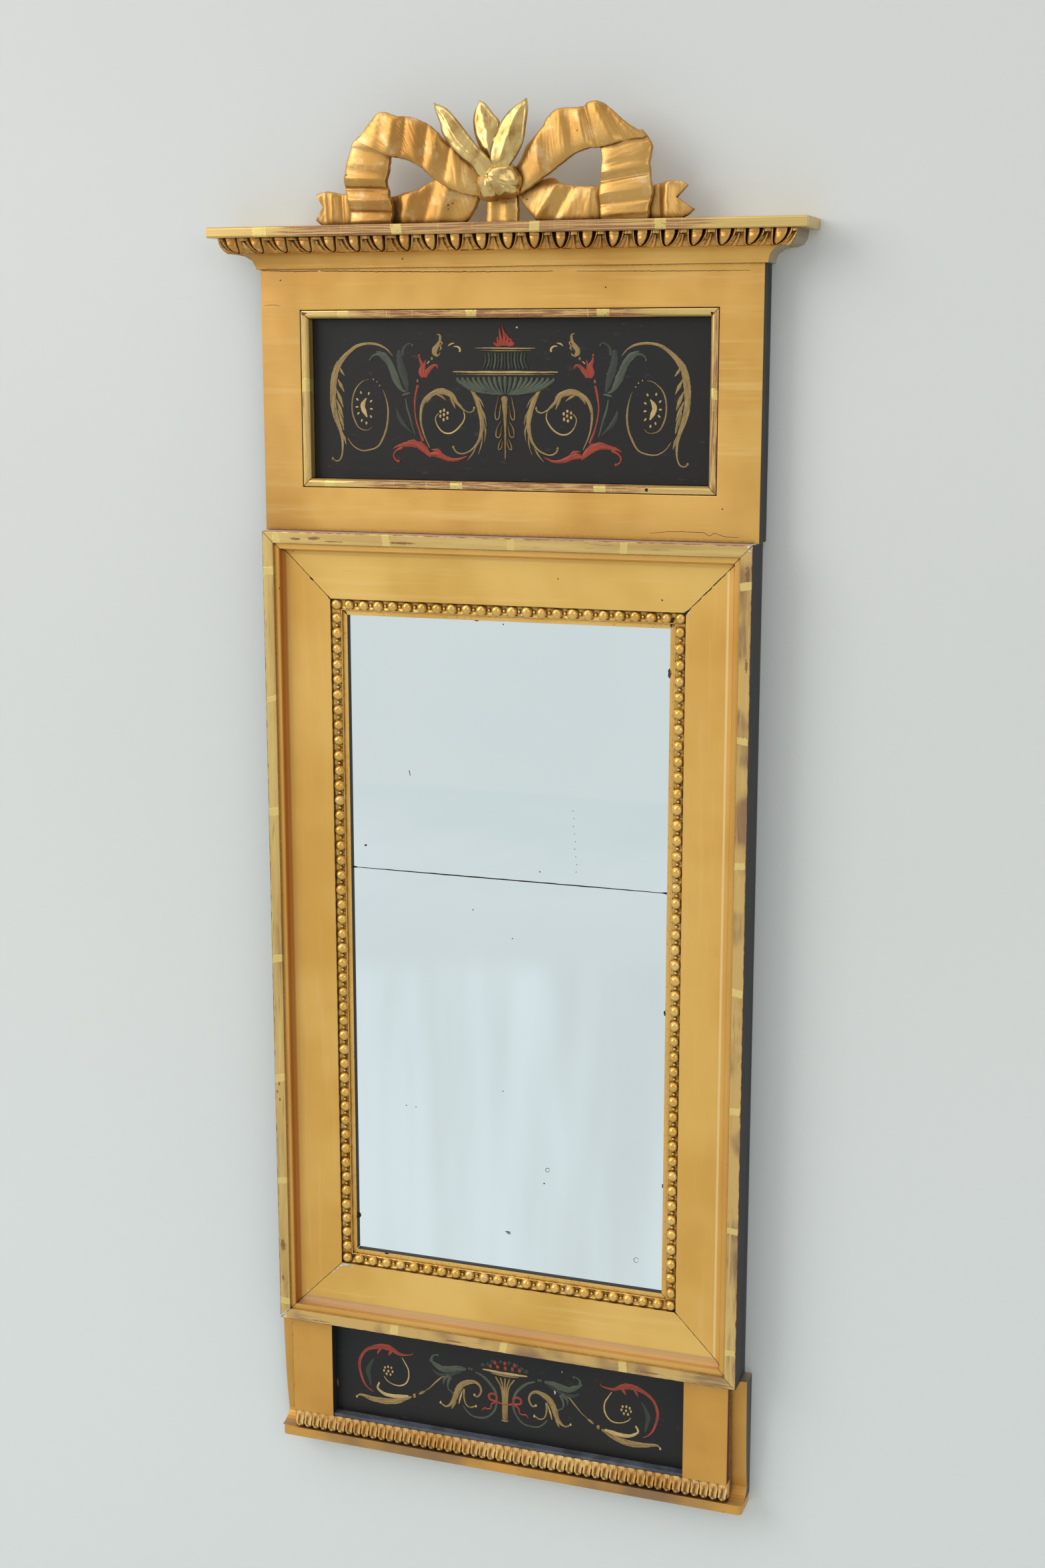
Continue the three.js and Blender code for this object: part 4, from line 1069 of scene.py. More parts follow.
def foldHeight(across, up, folds):
    total = 0.0
    for ax, ay, bx, by, rise, width in folds:
        dx, dy = bx - ax, by - ay
        length = math.hypot(dx, dy)
        away = ((across - ax) * dy - (up - ay) * dx) / length
        along = ((across - ax) * dx + (up - ay) * dy) / length ** 2
        over = max(0.0, -along - 0.15, along - 1.15)
        steep = away < 0 if abs(dy) > abs(dx) else away > 0     # carved sharper away from the light
        spread = width * (0.78 if steep else 1.35)
        total += rise * math.exp(-abs(away / spread) ** 1.7) * math.exp(-(over * 3) ** 2)
    return total


def band(shell, outer, inner, reaches, folds, steps=120, across=14, thickness=4.5, roll=0.8, seed=0,
         notch=0.0):
    # a carved length of ribbon between two edges; a notch cuts its far end to two points
    first = smoothPath(outer, steps + 1)
    second = smoothPath(inner, steps + 1)
    reachPath = spread(reaches, steps + 1)
    rings = []
    for i in range(steps + 1):
        (ox, oy), (ix, iy) = first[i], second[i]
        wob = crest["handWobble"]
        ox += wob * noise.noise(Vector((ox * 0.35, oy * 0.35, seed)))
        oy += wob * noise.noise(Vector((ox * 0.35, oy * 0.35, seed + 3)))
        ix += wob * noise.noise(Vector((ix * 0.35, iy * 0.35, seed + 5)))
        iy += wob * noise.noise(Vector((ix * 0.35, iy * 0.35, seed + 7)))
        front, back = [], []
        for j in range(across + 1):
            v = 0.5 - 0.5 * math.cos(math.pi * j / across)
            px, py = ox + (ix - ox) * v, oy + (iy - oy) * v
            px -= notch * (1 - abs(2 * v - 1)) * (i / steps) ** 2
            rolled = roll * abs(2 * v - 1) ** 9
            bow = 0.4 * (1 - (2 * v - 1) ** 2)
            lift = foldHeight(px, py, folds) * (1 - 0.25 * abs(2 * v - 1) ** 4)
            grain = 0.14 * noise.noise(Vector((px * 0.8, py * 0.8, seed + 11)))
            reach = reachPath[i] + lift + bow - rolled + grain
            front.append(crestPoint(px, py, reach))
            behind = reachPath[i] + 0.6 * lift - thickness + 0.4 * (abs(2 * v - 1) ** 6)
            back.append(crestPoint(px, py, behind))
        rings.append(front + back[::-1])
    shell.loft(rings, stripEnds=True)


leftBow = {
    "upperOuter": [(-8, 25), (-15, 32.5), (-24.3, 40), (-30.4, 44), (-35.8, 49.5), (-42.8, 54.6),
                   (-50.6, 57.9), (-59.3, 58.9), (-67.1, 61.3), (-71.1, 60.5), (-75.1, 57.1), (-80.8, 51),
                   (-85.3, 46.6)],
    "upperInner": [(-6, 14), (-14.3, 14.8), (-24.4, 17.3), (-33, 21.4), (-39.2, 25.5), (-44.6, 30.1),
                   (-50.9, 33.8), (-58.8, 36.2), (-64.3, 37)],
    "upperReach": [22.5, 24, 26, 26.5, 26.5, 27, 27.3, 27, 26],
    "upperFolds": [(-71, 60, -74, 44, 1.0, 4.0), (-59.3, 59, -64.3, 38, 2.2, 4.6),
                   (-54.5, 57.5, -58, 36.5, -1.0, 1.3), (-47, 55.5, -49, 34, 1.0, 4.2),
                   (-41, 53, -44, 31, -0.7, 1.4), (-34.5, 47, -40, 27, 1.3, 4.4),
                   (-28, 42, -32, 21, -0.8, 2.0), (-20.5, 36, -23, 18, 1.0, 4.0)],
    "sideOuter": [(-84, 49.0), (-88, 44.8), (-90.4, 38), (-92.4, 30.2), (-93.1, 23.1), (-91.9, 15.9),
                  (-89.8, 8.7), (-89.7, 0.3)],
    "sideInner": [(-66, 42), (-65.2, 36.5), (-66, 29.5), (-67.5, 23.8), (-66.2, 16.7), (-63.9, 11),
                  (-64.8, 0.3)],
    "sideReach": [25.5, 25.3, 25.2, 25, 25, 25.2, 24.8],
    "sideFolds": [(-66, 37, -91, 43, -0.5, 2.4), (-66, 31, -92, 35, 0.9, 4.0),
                  (-67, 24.5, -93, 26.5, 1.4, 2.6), (-66, 19.5, -93, 20.5, -1.6, 1.3),
                  (-64, 13, -92, 14, 1.5, 3.2), (-64, 6.4, -90, 7.4, -0.8, 1.4),
                  (-64, 2.5, -90, 2.5, 0.8, 2.0)],
    "lowOuter": [(-70, 0.3), (-56, 0.3), (-43.4, 0.3), (-30, 0.3), (-22.9, 0.6), (-18.2, 5.5), (-14.3, 13)],
    "lowInner": [(-70, 14.5), (-66.4, 15.7), (-59.2, 17.6), (-51.2, 18.9), (-44.8, 22.3), (-38, 25.5),
                 (-27.4, 27), (-18, 24)],
    "lowReach": [18.5, 19.5, 19.8, 19.5, 19, 18.6, 18.4],
    "lowFolds": [(-30, 22, -36, 2, 1.0, 3.4), (-40, 22, -47, 1, -0.8, 3.2), (-54, 19, -58, 2, 0.9, 3.6),
                 (-63, 18, -64, 0, -1.5, 2.6)],
}

rightBow = {
    "upperOuter": [(7, 26), (12.6, 33.4), (16.4, 40.2), (21.7, 45.5), (26.2, 50.2), (28.5, 54.2), (33, 58.4),
                   (38.2, 60), (44.2, 59.8), (50.1, 60.2), (53.1, 62.2), (57.5, 62.9), (61.2, 61.8),
                   (66.4, 58), (73.8, 51.9), (81.2, 47.2), (86.2, 43.8)],
    "upperInner": [(6, 14.5), (12.6, 15.4), (18.7, 18.7), (26.3, 23.3), (31.5, 26.7), (38.3, 31.3),
                   (45.8, 35.9), (53.2, 38.1), (59.2, 38.5), (66.5, 39.8), (75.3, 41.6), (84.2, 42.6)],
    "upperReach": [22.5, 24, 25.5, 26, 26.5, 27, 27.3, 27, 26],
    "upperFolds": [(22, 46, 26, 24, 0.8, 5.0), (36, 60, 41, 34, 0.9, 4.5), (47.5, 60, 53, 38, 1.8, 3.5),
                   (51, 61, 57, 39, -1.2, 1.3), (57, 63, 68, 42, 2.2, 4.5), (63, 61, 74, 43, -1.0, 1.6),
                   (71, 55, 80, 44, 1.0, 3.0)],
    "sideOuter": [(83, 47.4), (86.5, 43.4), (88.9, 38.1), (87.6, 29.4), (88.2, 21.2), (89.4, 15.7),
                  (87.6, 7.5), (86.9, 0.3)],
    "sideInner": [(60, 43), (60, 37.6), (60.8, 31.5), (59.8, 21.9), (59.4, 12.3), (60.3, 0.3)],
    "sideReach": [25.7, 25.6, 25.4, 25, 25, 25.2, 24.8],
    "sideFolds": [(60, 38, 88, 42, -0.4, 2.6), (61, 32, 88, 35.5, 0.9, 4.0), (60, 25, 88, 29, 1.4, 2.4),
                  (60, 20.5, 88, 24.5, -1.2, 1.3), (60, 14, 88, 17, 1.4, 3.2), (60, 8, 88, 10.5, -0.9, 1.4),
                  (60, 3, 88, 4.6, 0.8, 2.0)],
    "lowOuter": [(66, 0.3), (58.4, 0.3), (41.8, 0.3), (30, 0.3), (22, 0.6), (17.4, 4.6), (12.8, 9.6),
                 (9.7, 14.6)],
    "lowInner": [(66, 17.5), (58.3, 18.3), (49.3, 18.8), (41.7, 19.4), (34.2, 21), (29.6, 23.8), (20, 22),
                 (13, 19)],
    "lowReach": [18.5, 19.5, 19.8, 19.5, 19, 18.6, 18.4],
    "lowFolds": [(34, 20, 21, 2, 1.8, 3.0), (42, 19, 31, 1, -1.1, 3.0), (54, 19, 52, 1, 0.9, 3.2),
                 (59, 19, 60, 0, -1.3, 2.4)],
}


def buildBow(look, name, node, seed):
    shell = Shell()
    band(shell, look["lowOuter"], look["lowInner"], look["lowReach"], look["lowFolds"], seed=seed, steps=90)
    band(shell, look["sideOuter"], look["sideInner"], look["sideReach"], look["sideFolds"], seed=seed + 1)
    band(shell, look["upperOuter"], look["upperInner"], look["upperReach"], look["upperFolds"], seed=seed + 2,
         steps=170)
    shell.add(name, ribbonGilding, replaced=(node,), sharp=70)


buildBow(leftBow, "bowLoopLeft", "ribbon_loop_left", 0)
buildBow(rightBow, "bowLoopRight", "ribbon_loop_right", 20)

tails = {
    "left": {"node": "ribbon_tail_left", "notch": -4.4,
             "upper": [(-88, 18.3), (-92.9, 18.2), (-99.4, 18.4), (-107.6, 19.6), (-114.4, 18.4)],
             "lower": [(-88, 0.3), (-96, 0.3), (-104, 0.3), (-110.4, 0.5), (-114.7, 3.6)],
             "folds": [(-98, 18, -97, 0, -1.2, 2.0), (-103.5, 18, -103, 0, 1.3, 2.6),
                       (-109, 19, -108, 0, -0.8, 2)]},
    "right": {"node": "ribbon_tail_right", "notch": 8.2,
              "upper": [(85, 17.5), (88.7, 18.7), (96.7, 20.3), (102.5, 20.4), (107.3, 18.4)],
              "lower": [(85, 0.3), (91, 0.3), (98, 0.3), (105.6, 1.4), (111, 5.4)],
              "folds": [(92, 19, 92, 0, -1.2, 2.2), (97, 20, 97.5, 1, 1.4, 2.6),
                        (103, 20, 104, 2, -0.7, 2.0)]},
}


def buildTail(side):
    look = tails[side]
    shell = Shell()
    band(shell, look["upper"], look["lower"], [18, 18.5, 18.6, 18.2, 17.6], look["folds"], steps=70,
         across=12, thickness=4.2, seed=40 + len(side), notch=look["notch"])
    shell.add(f"bowTail{side.capitalize()}", ribbonGilding, replaced=(look["node"],), sharp=70)


buildTail("left")
buildTail("right")

leaves = {
    "crest_leaf_left": {"one": [(-36.8, 65.2), (-29.5, 62), (-22.6, 55.3), (-17.2, 48.9), (-11.1, 41.8),
                                (-6.3, 37.2), (-1, 31.5), (2, 24)],
                        "two": [(-36.8, 65.2), (-36.2, 60.8), (-33, 54), (-31.4, 48.4), (-26.6, 41.6),
                                (-20.4, 35.8), (-14, 31), (-10, 25)],
                        "reach": [27, 28.2, 29.4, 30, 30.2, 30], "rib": 1.9},
    "crest_leaf_centre": {"one": [(-10.8, 65.9), (-7.6, 64), (-3, 58.6), (1.2, 53.3), (0.5, 44), (0, 35),
                                  (0, 28)],
                          "two": [(-10.8, 65.9), (-13.6, 61), (-14.6, 54.8), (-13.4, 47.5), (-10.4, 40),
                                  (-7, 33), (-5, 28)],
                          "reach": [23.5, 24.2, 24.8, 25, 25, 25], "rib": 1.5},
    "crest_leaf_right": {"one": [(17.8, 65.6), (18.7, 59.8), (17.9, 51.6), (16.6, 43), (13.2, 35.8),
                                 (8.7, 30)],
                         "two": [(17.8, 65.6), (11.1, 61.7), (5.6, 56.2), (1, 48.1), (-1.6, 41.3), (-2.9, 34),
                                 (-1, 28)],
                         "reach": [27.5, 28.6, 29.6, 30, 30.2, 30], "rib": 1.8},
}


def buildLeaf(node):
    look = leaves[node]
    steps, across = 60, 12
    first = smoothPath(look["one"], steps + 1)
    second = smoothPath(look["two"], steps + 1)
    reachPath = spread(look["reach"], steps + 1)
    rings = []
    for i in range(steps + 1):
        t = i / steps
        front, back = [], []
        (ax, ay), (bx, by) = first[i], second[i]
        for j in range(across + 1):
            v = j / across
            px, py = ax + (bx - ax) * v, ay + (by - ay) * v
            side = abs(2 * v - 1)
            rib = look["rib"] * (1 - side) ** 1.3 * math.sin(math.pi * min(0.92, 0.12 + t * 0.8))
            cup = 0.9 * side ** 2 * math.sin(math.pi * t)
            dent = 0.25 * noise.noise(Vector((px * 0.5, py * 0.22, len(node))))
            curl = 0.7 * math.sin(7 * t + 2 * v) * (1 - t) * 0.4
            front.append(crestPoint(px, py, reachPath[i] + rib + cup + dent + curl - 1.1 * side ** 8))
            back.append(crestPoint(px, py, reachPath[i] - 2.2 + 0.5 * side ** 6))
        rings.append(front + back[::-1])
    shell = Shell()
    shell.loft(rings)
    name = "leaf" + node.rsplit("_", 1)[1].capitalize()
    shell.add(name, brightGold, replaced=(node,), slot="burnished_gold", sharp=65)


for leafNode in leaves:
    buildLeaf(leafNode)

knot = {"centre": (0.9, 21.6), "radii": (13.4, 9.6, 11.2), "reach": 24.4}


def buildKnot():
    look = knot
    cx, cz = look["centre"]

    def crumple(u):
        turn = math.atan2(u.z, u.x)
        out = math.hypot(u.x, u.z)
        swirl = 0.05 * math.sin(2 * turn + 6 * out + 1.0) * out
        folds = 0.05 * math.sin(4 * u.x - 3 * u.z + 2) + 0.07 * noise.noise(u * 2.0 + Vector((3, 1, 4)))
        crease = -0.10 * math.exp(-((u.x + 0.25 + 0.35 * u.z) / 0.09) ** 2) * (1 if u.z < 0.35 else 0.3)
        crease -= 0.08 * math.exp(-((u.z - 0.1 + 0.5 * u.x) / 0.10) ** 2) * (1 if u.x > -0.2 else 0.2)
        fine = 0.006 * noise.noise(u * 7)
        return swirl + folds + crease + fine

    rings = []
    steps, turns = 34, 72
    for i in range(steps):
        tilt = math.pi / 2 * i / steps
        ring = []
        for j in range(turns):
            turn = 2 * math.pi * j / turns
            u = Vector((math.cos(tilt) * math.cos(turn), -math.sin(tilt), math.cos(tilt) * math.sin(turn)))
            s = 1 + crumple(u)
            x, y, z = (radius * way * s for radius, way in zip(look["radii"], u))
            ring.append(Vector(((cx + x) * mm, (y - look["reach"]) * mm, corniceTop + (cz + z) * mm)))
        rings.append(ring)
    shell = Shell()
    shell.loft(rings)
    shell.add("knot", brightGold, replaced=("crest_knot",), slot="burnished_gold", sharp=80)


buildKnot()

post = {
    "left": [(-10, 0.25), (-9.9, 6), (-9.9, 12), (-10.2, 20)],
    "right": [(8.6, 0.25), (8.9, 6), (8.7, 12), (8.5, 20)],
    "folds": [(-6, 20, -6, 0, 0.7, 1.4), (-1, 20, -2, 0, -0.6, 1.2), (4, 20, 4, 0, 0.6, 1.5)],
}
postShell = Shell()
band(postShell, post["left"], post["right"], [17, 17], post["folds"], steps=30, thickness=4.6, seed=60)
postShell.add("post", ribbonGilding, replaced=("crest_post",), sharp=70)
print("crest done")


# painted ornament: (across, up) in mm from the middle of a panel; the right half turns the same touches over.
# The places were picked in the photo and projected onto the panel through the solved camera.

paints = {
    "gold": ornamentPaint("paintGold", rgb(160, 132, 76), rgb(108, 88, 50)),
    "pale": ornamentPaint("paintPaleGold", rgb(200, 174, 114), rgb(160, 134, 82)),
    "red": ornamentPaint("paintRed", rgb(166, 56, 30), rgb(110, 38, 22)),
    "slate": ornamentPaint("paintSlateGreen", rgb(78, 86, 66), rgb(48, 56, 47)),
    "moss": ornamentPaint("paintMossGreen", rgb(46, 54, 40), rgb(31, 37, 30)),
}

friezeTouches = [
    # outer frond, its long spine and the lobes inside it
    ("gold", [0.3, 1.1, 1.2, 1.7, 3.0, 3.4, 3.0, 2.6, 1.5, 0.8, 0.5],
     [(-70.5, 25), (-74.5, 29), (-80, 31.5), (-86.5, 32), (-93.5, 30.5), (-100.5, 25.5), (-105.5, 19.5),
      (-108, 13), (-109, 5.5), (-109, -2.5), (-107.5, -10), (-105, -17), (-103.5, -23.5), (-103.5, -30.5),
      (-105, -35), (-108, -36), (-110, -34.5)]),
    ("gold", [0.3, 1.2, 0.3], [(-105, 19), (-103, 15.5), (-101.5, 13.5)]),
    ("gold", [0.4, 1.7, 0.3], [(-106, 12), (-104, 8), (-102, 4)]),
    ("gold", [0.4, 1.9, 0.3], [(-107, 6), (-104.5, 0), (-102.5, -5)]),
    ("gold", [0.4, 1.9, 0.3], [(-107, 0), (-104.5, -6), (-102.5, -11)]),
    ("gold", [0.4, 1.7, 0.3], [(-106, -6), (-103.5, -13), (-102.5, -18)]),
    ("gold", [0.4, 1.3, 0.3], [(-104, -18), (-102, -23), (-101, -26.5)]),
    # oval spiral round the petals
    ("gold", [0.2, 0.5, 0.7, 0.8, 0.7, 0.4, 0.2],
     [(-85.5, 11.5), (-89.5, 10.5), (-94, 6.5), (-96.5, 1), (-97, -5), (-96, -10.5), (-93.5, -15.5),
      (-90, -17.5), (-86.5, -17.5), (-84, -15.5)]),
    ("gold", [0.3, 0.7, 0.9, 0.9, 0.7, 0.6, 0.3],
     [(-77, 5.5), (-75, 0), (-74, -8), (-75, -16), (-77.5, -22.5), (-81, -27.5), (-86.5, -29.5), (-92, -29.5),
      (-96.5, -27), (-99, -24), (-100, -22.5)]),
    ("pale", [0.5, 2.2, 2.3, 0.6], [(-87.5, 1), (-89.5, -2), (-90, -5), (-87.5, -10.5)]),
    # bell leaf, its ring and its stem
    ("moss", [1.6, 3.0, 3.8, 4.0, 2.6, 0.8],
     [(-66.5, 28.5), (-66.5, 24), (-65.5, 19), (-63.5, 12.5), (-62, 7), (-61.5, 4.5)]),
    ("moss", [0.5, 1.2, 2.0], [(-58, 31.5), (-60.5, 32), (-63.5, 29.5), (-64.5, 25)]),
    ("slate", [0.4, 1.0, 3.4, 3.0, 3.2, 3.6, 2.2, 0.6],
     [(-85, 23), (-83.5, 25), (-80, 26), (-76.5, 25), (-73, 21), (-70.5, 15.5), (-68, 10), (-65, 5.5),
      (-62.5, 4.5)]),
    ("slate", [0.5, 1.3, 0.5], [(-81, 27.5), (-78.5, 27), (-76, 25)]),
    ("slate", [0.8, 1.1, 0.8], [(-65, 2.5), (-62.5, 3.3), (-60, 3.8)]),
    ("slate", [0.5, 1.0, 0.8, 0.4], [(-63, 1), (-62, -4.5), (-60, -11), (-58.5, -16), (-57, -20.5)]),
    ("moss", [0.4, 2.0, 2.2, 1.2, 0.3],
     [(-68.5, -5), (-67.5, -9), (-65, -13.5), (-62, -16.5), (-58.5, -19.5)]),
    # red stem and tulip
    ("red", [1.2, 0.9, 0.7, 0.8, 1.3],
     [(-55, 8.5), (-56.5, 2.5), (-57.2, -3), (-56.5, -10), (-54.8, -16.5), (-52, -24)]),
    ("red", [0.5, 1.4, 2.6, 2.8, 1.6], [(-53.8, 25), (-53.5, 22.5), (-52, 19), (-53, 15.5), (-51.5, 12.8)]),
    ("red", [2.4, 2.4, 1.4, 0.5], [(-51, 13), (-49, 16), (-46, 19), (-43.4, 19.7), (-42.5, 17.8)]),
    ("red", [0.4, 1.5, 1.8], [(-50, 23), (-50.8, 19), (-51, 14)]),
    ("pale", [0.4, 0.6, 0.4], [(-49.2, 20.7), (-47.5, 22.2)]),
    ("gold", [0.4, 1.2, 1.4, 2.6, 2.6, 0.6],
     [(-43, 37.3), (-41.2, 36.8), (-41, 34), (-42.5, 31), (-44.2, 28.5), (-44.4, 26.5), (-42.5, 24.6)]),
    ("gold", [0.3, 0.9, 0.3], [(-41.5, 34), (-39.7, 32.3), (-41, 30.5)]),
    ("gold", [0.3, 0.9, 0.3], [(-41.5, 31), (-40.2, 29.5), (-41.3, 28)]),
    ("gold", [0.3, 0.8, 0.3], [(-43.5, 26), (-41.8, 25.4), (-40.8, 26.8)]),
    ("pale", [0.3, 0.8, 0.3], [(-36, 30.5), (-34.5, 31.7), (-32, 32.3)]),
    ("pale", [0.3, 0.9, 1.1], [(-32.5, 30.5), (-30, 30.2), (-28.6, 28.6), (-29, 27.2)]),
    # inner scroll with its spiral
    ("gold", [0.4, 0.7, 0.9, 1.2, 1.8, 2.2, 3.0, 2.6, 1.2, 0.6, 0.9],
     [(-48, -27.5), (-51.5, -20), (-53.3, -12.5), (-53, -6), (-51, -0.5), (-47, 3), (-41.5, 5), (-36.5, 4),
      (-33, 2), (-30.5, -2), (-26.5, -5.5), (-23, -7), (-20.5, -6), (-20, -4.5)]),
    ("gold", [0.5, 1.2, 0.3], [(-44, 3.5), (-40.5, 2), (-37.5, -0.2)]),
    ("gold", [0.5, 1.2, 0.3], [(-45.5, 2.5), (-48, 0.5), (-49.5, -2)]),
    ("gold", [0.7, 1.5, 0.3], [(-35, 2.5), (-33, -1.5), (-31.7, -5)]),
    ("gold", [0.5, 0.8, 0.3], [(-30.5, -1), (-28, -4), (-26.3, -7)]),
    ("pale", [0.4, 0.7, 0.8, 0.7, 0.5, 0.3],
     [(-26.5, -6.5), (-26, -10), (-28, -14), (-31.5, -17.5), (-35.5, -19.2), (-39.5, -18.5), (-42.5, -15.5),
      (-44, -12), (-43.8, -9.5), (-42, -7.5)]),
    # tall frond beside the tazza
    ("gold", [0.3, 1.4, 2.2, 2.5, 2.3, 1.8, 1.3, 0.8, 0.6, 1.0],
     [(-26.5, 10), (-21.5, 5.5), (-17.5, -2.5), (-15.5, -10.5), (-15.5, -17), (-17.5, -23.5), (-22, -28.5),
      (-27.5, -30.7), (-31.5, -29.5), (-33, -27)]),
    ("gold", [0.2, 0.8, 0.2], [(-20.5, 4.5), (-16.2, 0), (-14, -4)]),
    ("gold", [0.2, 0.9, 0.2], [(-16.5, -3), (-13.6, -9), (-12.6, -15)]),
    ("gold", [0.2, 0.9, 0.2], [(-15, -11), (-13.2, -17), (-13.8, -24)]),
    ("gold", [0.2, 0.8, 0.2], [(-15, -18), (-15.5, -25), (-17.5, -31)]),
    ("gold", [0.2, 0.8, 0.2], [(-18, -25), (-21, -30.5), (-24.5, -34.5)]),
    # red acanthus below
    ("red", [0.8, 3.0, 3.8, 3.4, 2.4, 1.6, 0.4],
     [(-47, -33), (-50.5, -29), (-54, -26.5), (-58.5, -25.3), (-63, -25.8), (-68.5, -27), (-71, -28.5)]),
    ("red", [1.6, 1.0, 0.8, 0.7, 1.1],
     [(-65, -27.5), (-69, -29.5), (-70.7, -32), (-70, -34.5), (-67.8, -36)]),
    ("red", [0.4, 1.6, 0.5], [(-61.5, -23.8), (-57.5, -24), (-54, -26)]),
    ("red", [0.4, 1.5, 0.6], [(-54, -23.6), (-52, -26), (-50, -28.5)]),
    ("red", [0.5, 1.8, 0.6], [(-46.5, -28.5), (-42.5, -29.2), (-39.5, -32)]),
    ("red", [1.6, 3.2, 2.4, 1.8, 1.2, 0.3],
     [(-48, -31.5), (-43, -31.2), (-38.5, -33), (-34, -34.2), (-29.5, -34), (-24.5, -32)]),
]

friezeDots = [
    ("pale", 0.35, [(-83, 11.5), (-80.7, 10), (-79, 8)]),
    ("pale", 0.82, [(-38.7, -8.5), (-38.7, -5.8), (-36.5, -7.4), (-36.6, -10.4), (-39, -11.3), (-41, -9.4),
                    (-40.9, -6.8)]),
    ("gold", 0.75, [(-20, -4.5), (-33, -27), (-109.8, -34.6), (-55, 10.8), (-46, 23.5)]),
    ("slate", 0.7, [(-85, 22.8), (-58, 31)]),
    ("red", 0.8, [(-55, 11), (-53.9, 25.4), (-67.6, -35.8)]),
]

friezePetals = [(-91, 4), (-86, 3.5), (-93.4, 0), (-84.6, -1), (-93.6, -4.5), (-84.5, -5.5), (-92.9, -8.2),
                (-84.8, -10), (-90.7, -12.2), (-87.8, -13.8)]

panelTouches = [
    ("moss", [0.6, 1.8, 2.6, 1.8, 0.5], [(-90, 8), (-93, 3), (-94.5, -2), (-93.5, -7), (-92.5, -12)]),
    # red scroll at the end, its lobes, and the gold spiral inside
    ("red", [0.3, 0.9, 2.0, 3.2, 2.8, 1.9, 1.5, 1.5, 1.4, 1.2, 0.8, 0.4],
     [(-63.5, 16), (-64, 14.5), (-68.5, 13.5), (-72.5, 13.5), (-75.5, 15), (-79.5, 16.5), (-85.5, 16.8),
      (-91.5, 15), (-96.5, 11.5), (-99.5, 6.5), (-100.5, 1), (-99.5, -4.5), (-97.5, -10), (-94.5, -13.5),
      (-91, -15.5)]),
    ("red", [0.6, 1.6, 0.4], [(-77, 15.5), (-79, 13), (-80, 11)]),
    ("red", [0.5, 1.2, 0.4], [(-85, 15.5), (-87, 13), (-87.8, 11)]),
    ("pale", [0.4, 0.7, 0.8, 0.7, 0.5, 0.3],
     [(-71, 11.5), (-68.5, 7.5), (-66.5, 3.5), (-66.3, -1.5), (-68.5, -6), (-72.5, -8.3), (-77.5, -8),
      (-81.5, -6), (-83.5, -3.5)]),
    # long leaf, ball and stem
    ("gold", [1.0, 2.2, 3.0, 3.4, 3.2, 2.6, 1.6, 0.7],
     [(-64.5, -14.5), (-68.5, -16.5), (-73.5, -18.8), (-80.5, -20.5), (-86, -20.8), (-92.5, -20.5),
      (-97.5, -19.3), (-101, -19.3), (-102.5, -21)]),
    ("pale", [1.2, 2.2, 2.0, 1.4, 0.9],
     [(-66.5, -14.6), (-75, -16), (-82, -16), (-86, -14.2), (-88, -12), (-87, -9)]),
    ("gold", [0.5, 1.5, 0.5], [(-59.5, -12), (-57.5, -10.6), (-55, -9)]),
    ("gold", [0.4, 0.6, 0.8, 0.5], [(-55.5, -9), (-51.5, -6), (-47, -1), (-43.5, 2.6), (-41, 3.7)]),
    # curled leaf at the top
    ("moss", [0.5, 2.0, 2.2, 0.5], [(-29.5, 8.6), (-36, 6), (-42, 4), (-47, 4.8), (-50, 7)]),
    ("slate", [1.4, 3.0, 3.6, 3.2, 2.6, 0.6],
     [(-27, 10.7), (-32.5, 10.3), (-37.5, 9), (-43, 8.2), (-47, 10), (-50, 11.8), (-52, 13)]),
    ("slate", [2.0, 1.1, 0.8, 0.7], [(-50.5, 12.5), (-50.3, 15.2), (-48.5, 17), (-46.5, 17.2)]),
    ("slate", [1.8, 1.6, 0.4], [(-39, 5), (-42, 1), (-42.5, -2.5)]),
    ("slate", [1.8, 1.4, 0.8, 0.6], [(-37.5, 4), (-39.5, -1), (-39, -5), (-36.5, -6.5)]),
    # ring of stem round the acanthus
    ("slate", [0.8, 1.5, 1.5, 1.2, 1.1, 1.1, 0.9, 0.7],
     [(-21, 10), (-15.5, 7.5), (-11, 3.5), (-8, -0.5), (-6.5, -6), (-7, -12), (-9.5, -16.5), (-13.5, -20),
      (-18, -21), (-23, -20.5), (-27, -17.5), (-29, -14.5)]),
    ("gold", [0.8, 1.0, 1.2, 1.6, 2.6, 3.2, 3.2, 3.0, 2.0, 1.0, 0.8],
     [(-21.5, -6), (-19.5, -7), (-17.5, -4.5), (-17, -1.5), (-18.5, 1.5), (-22, 3), (-27, 1.5), (-31, -1.5),
      (-33.5, -6.5), (-35.5, -12), (-38.5, -16), (-41.5, -17), (-44.5, -15)]),
    ("pale", [0.3, 1.0, 0.4], [(-29.5, -4.5), (-31, -9.5), (-32, -14)]),
    ("gold", [0.5, 1.4, 0.6], [(-33.5, -9.5), (-35.3, -14.5), (-37, -18)]),
    ("gold", [1.4, 0.9, 0.7, 0.9], [(-28.5, -3), (-28.5, -9), (-27, -13.5), (-24, -15), (-20.8, -13.5)]),
    # ribbon tied round the torch
    ("red", [0.9, 1.2, 1.3, 1.2, 0.9],
     [(-7, -7.5), (-6.5, -4.5), (-9, -3), (-11.5, -4), (-11.5, -6.5), (-9.5, -7.5), (-7, -7.6)]),
    ("red", [1.3, 0.9, 0.8, 0.9, 0.5],
     [(-7, -8), (-10, -10.3), (-10.5, -13), (-13, -14), (-14.5, -13.5), (-16.5, -15.5)]),
]

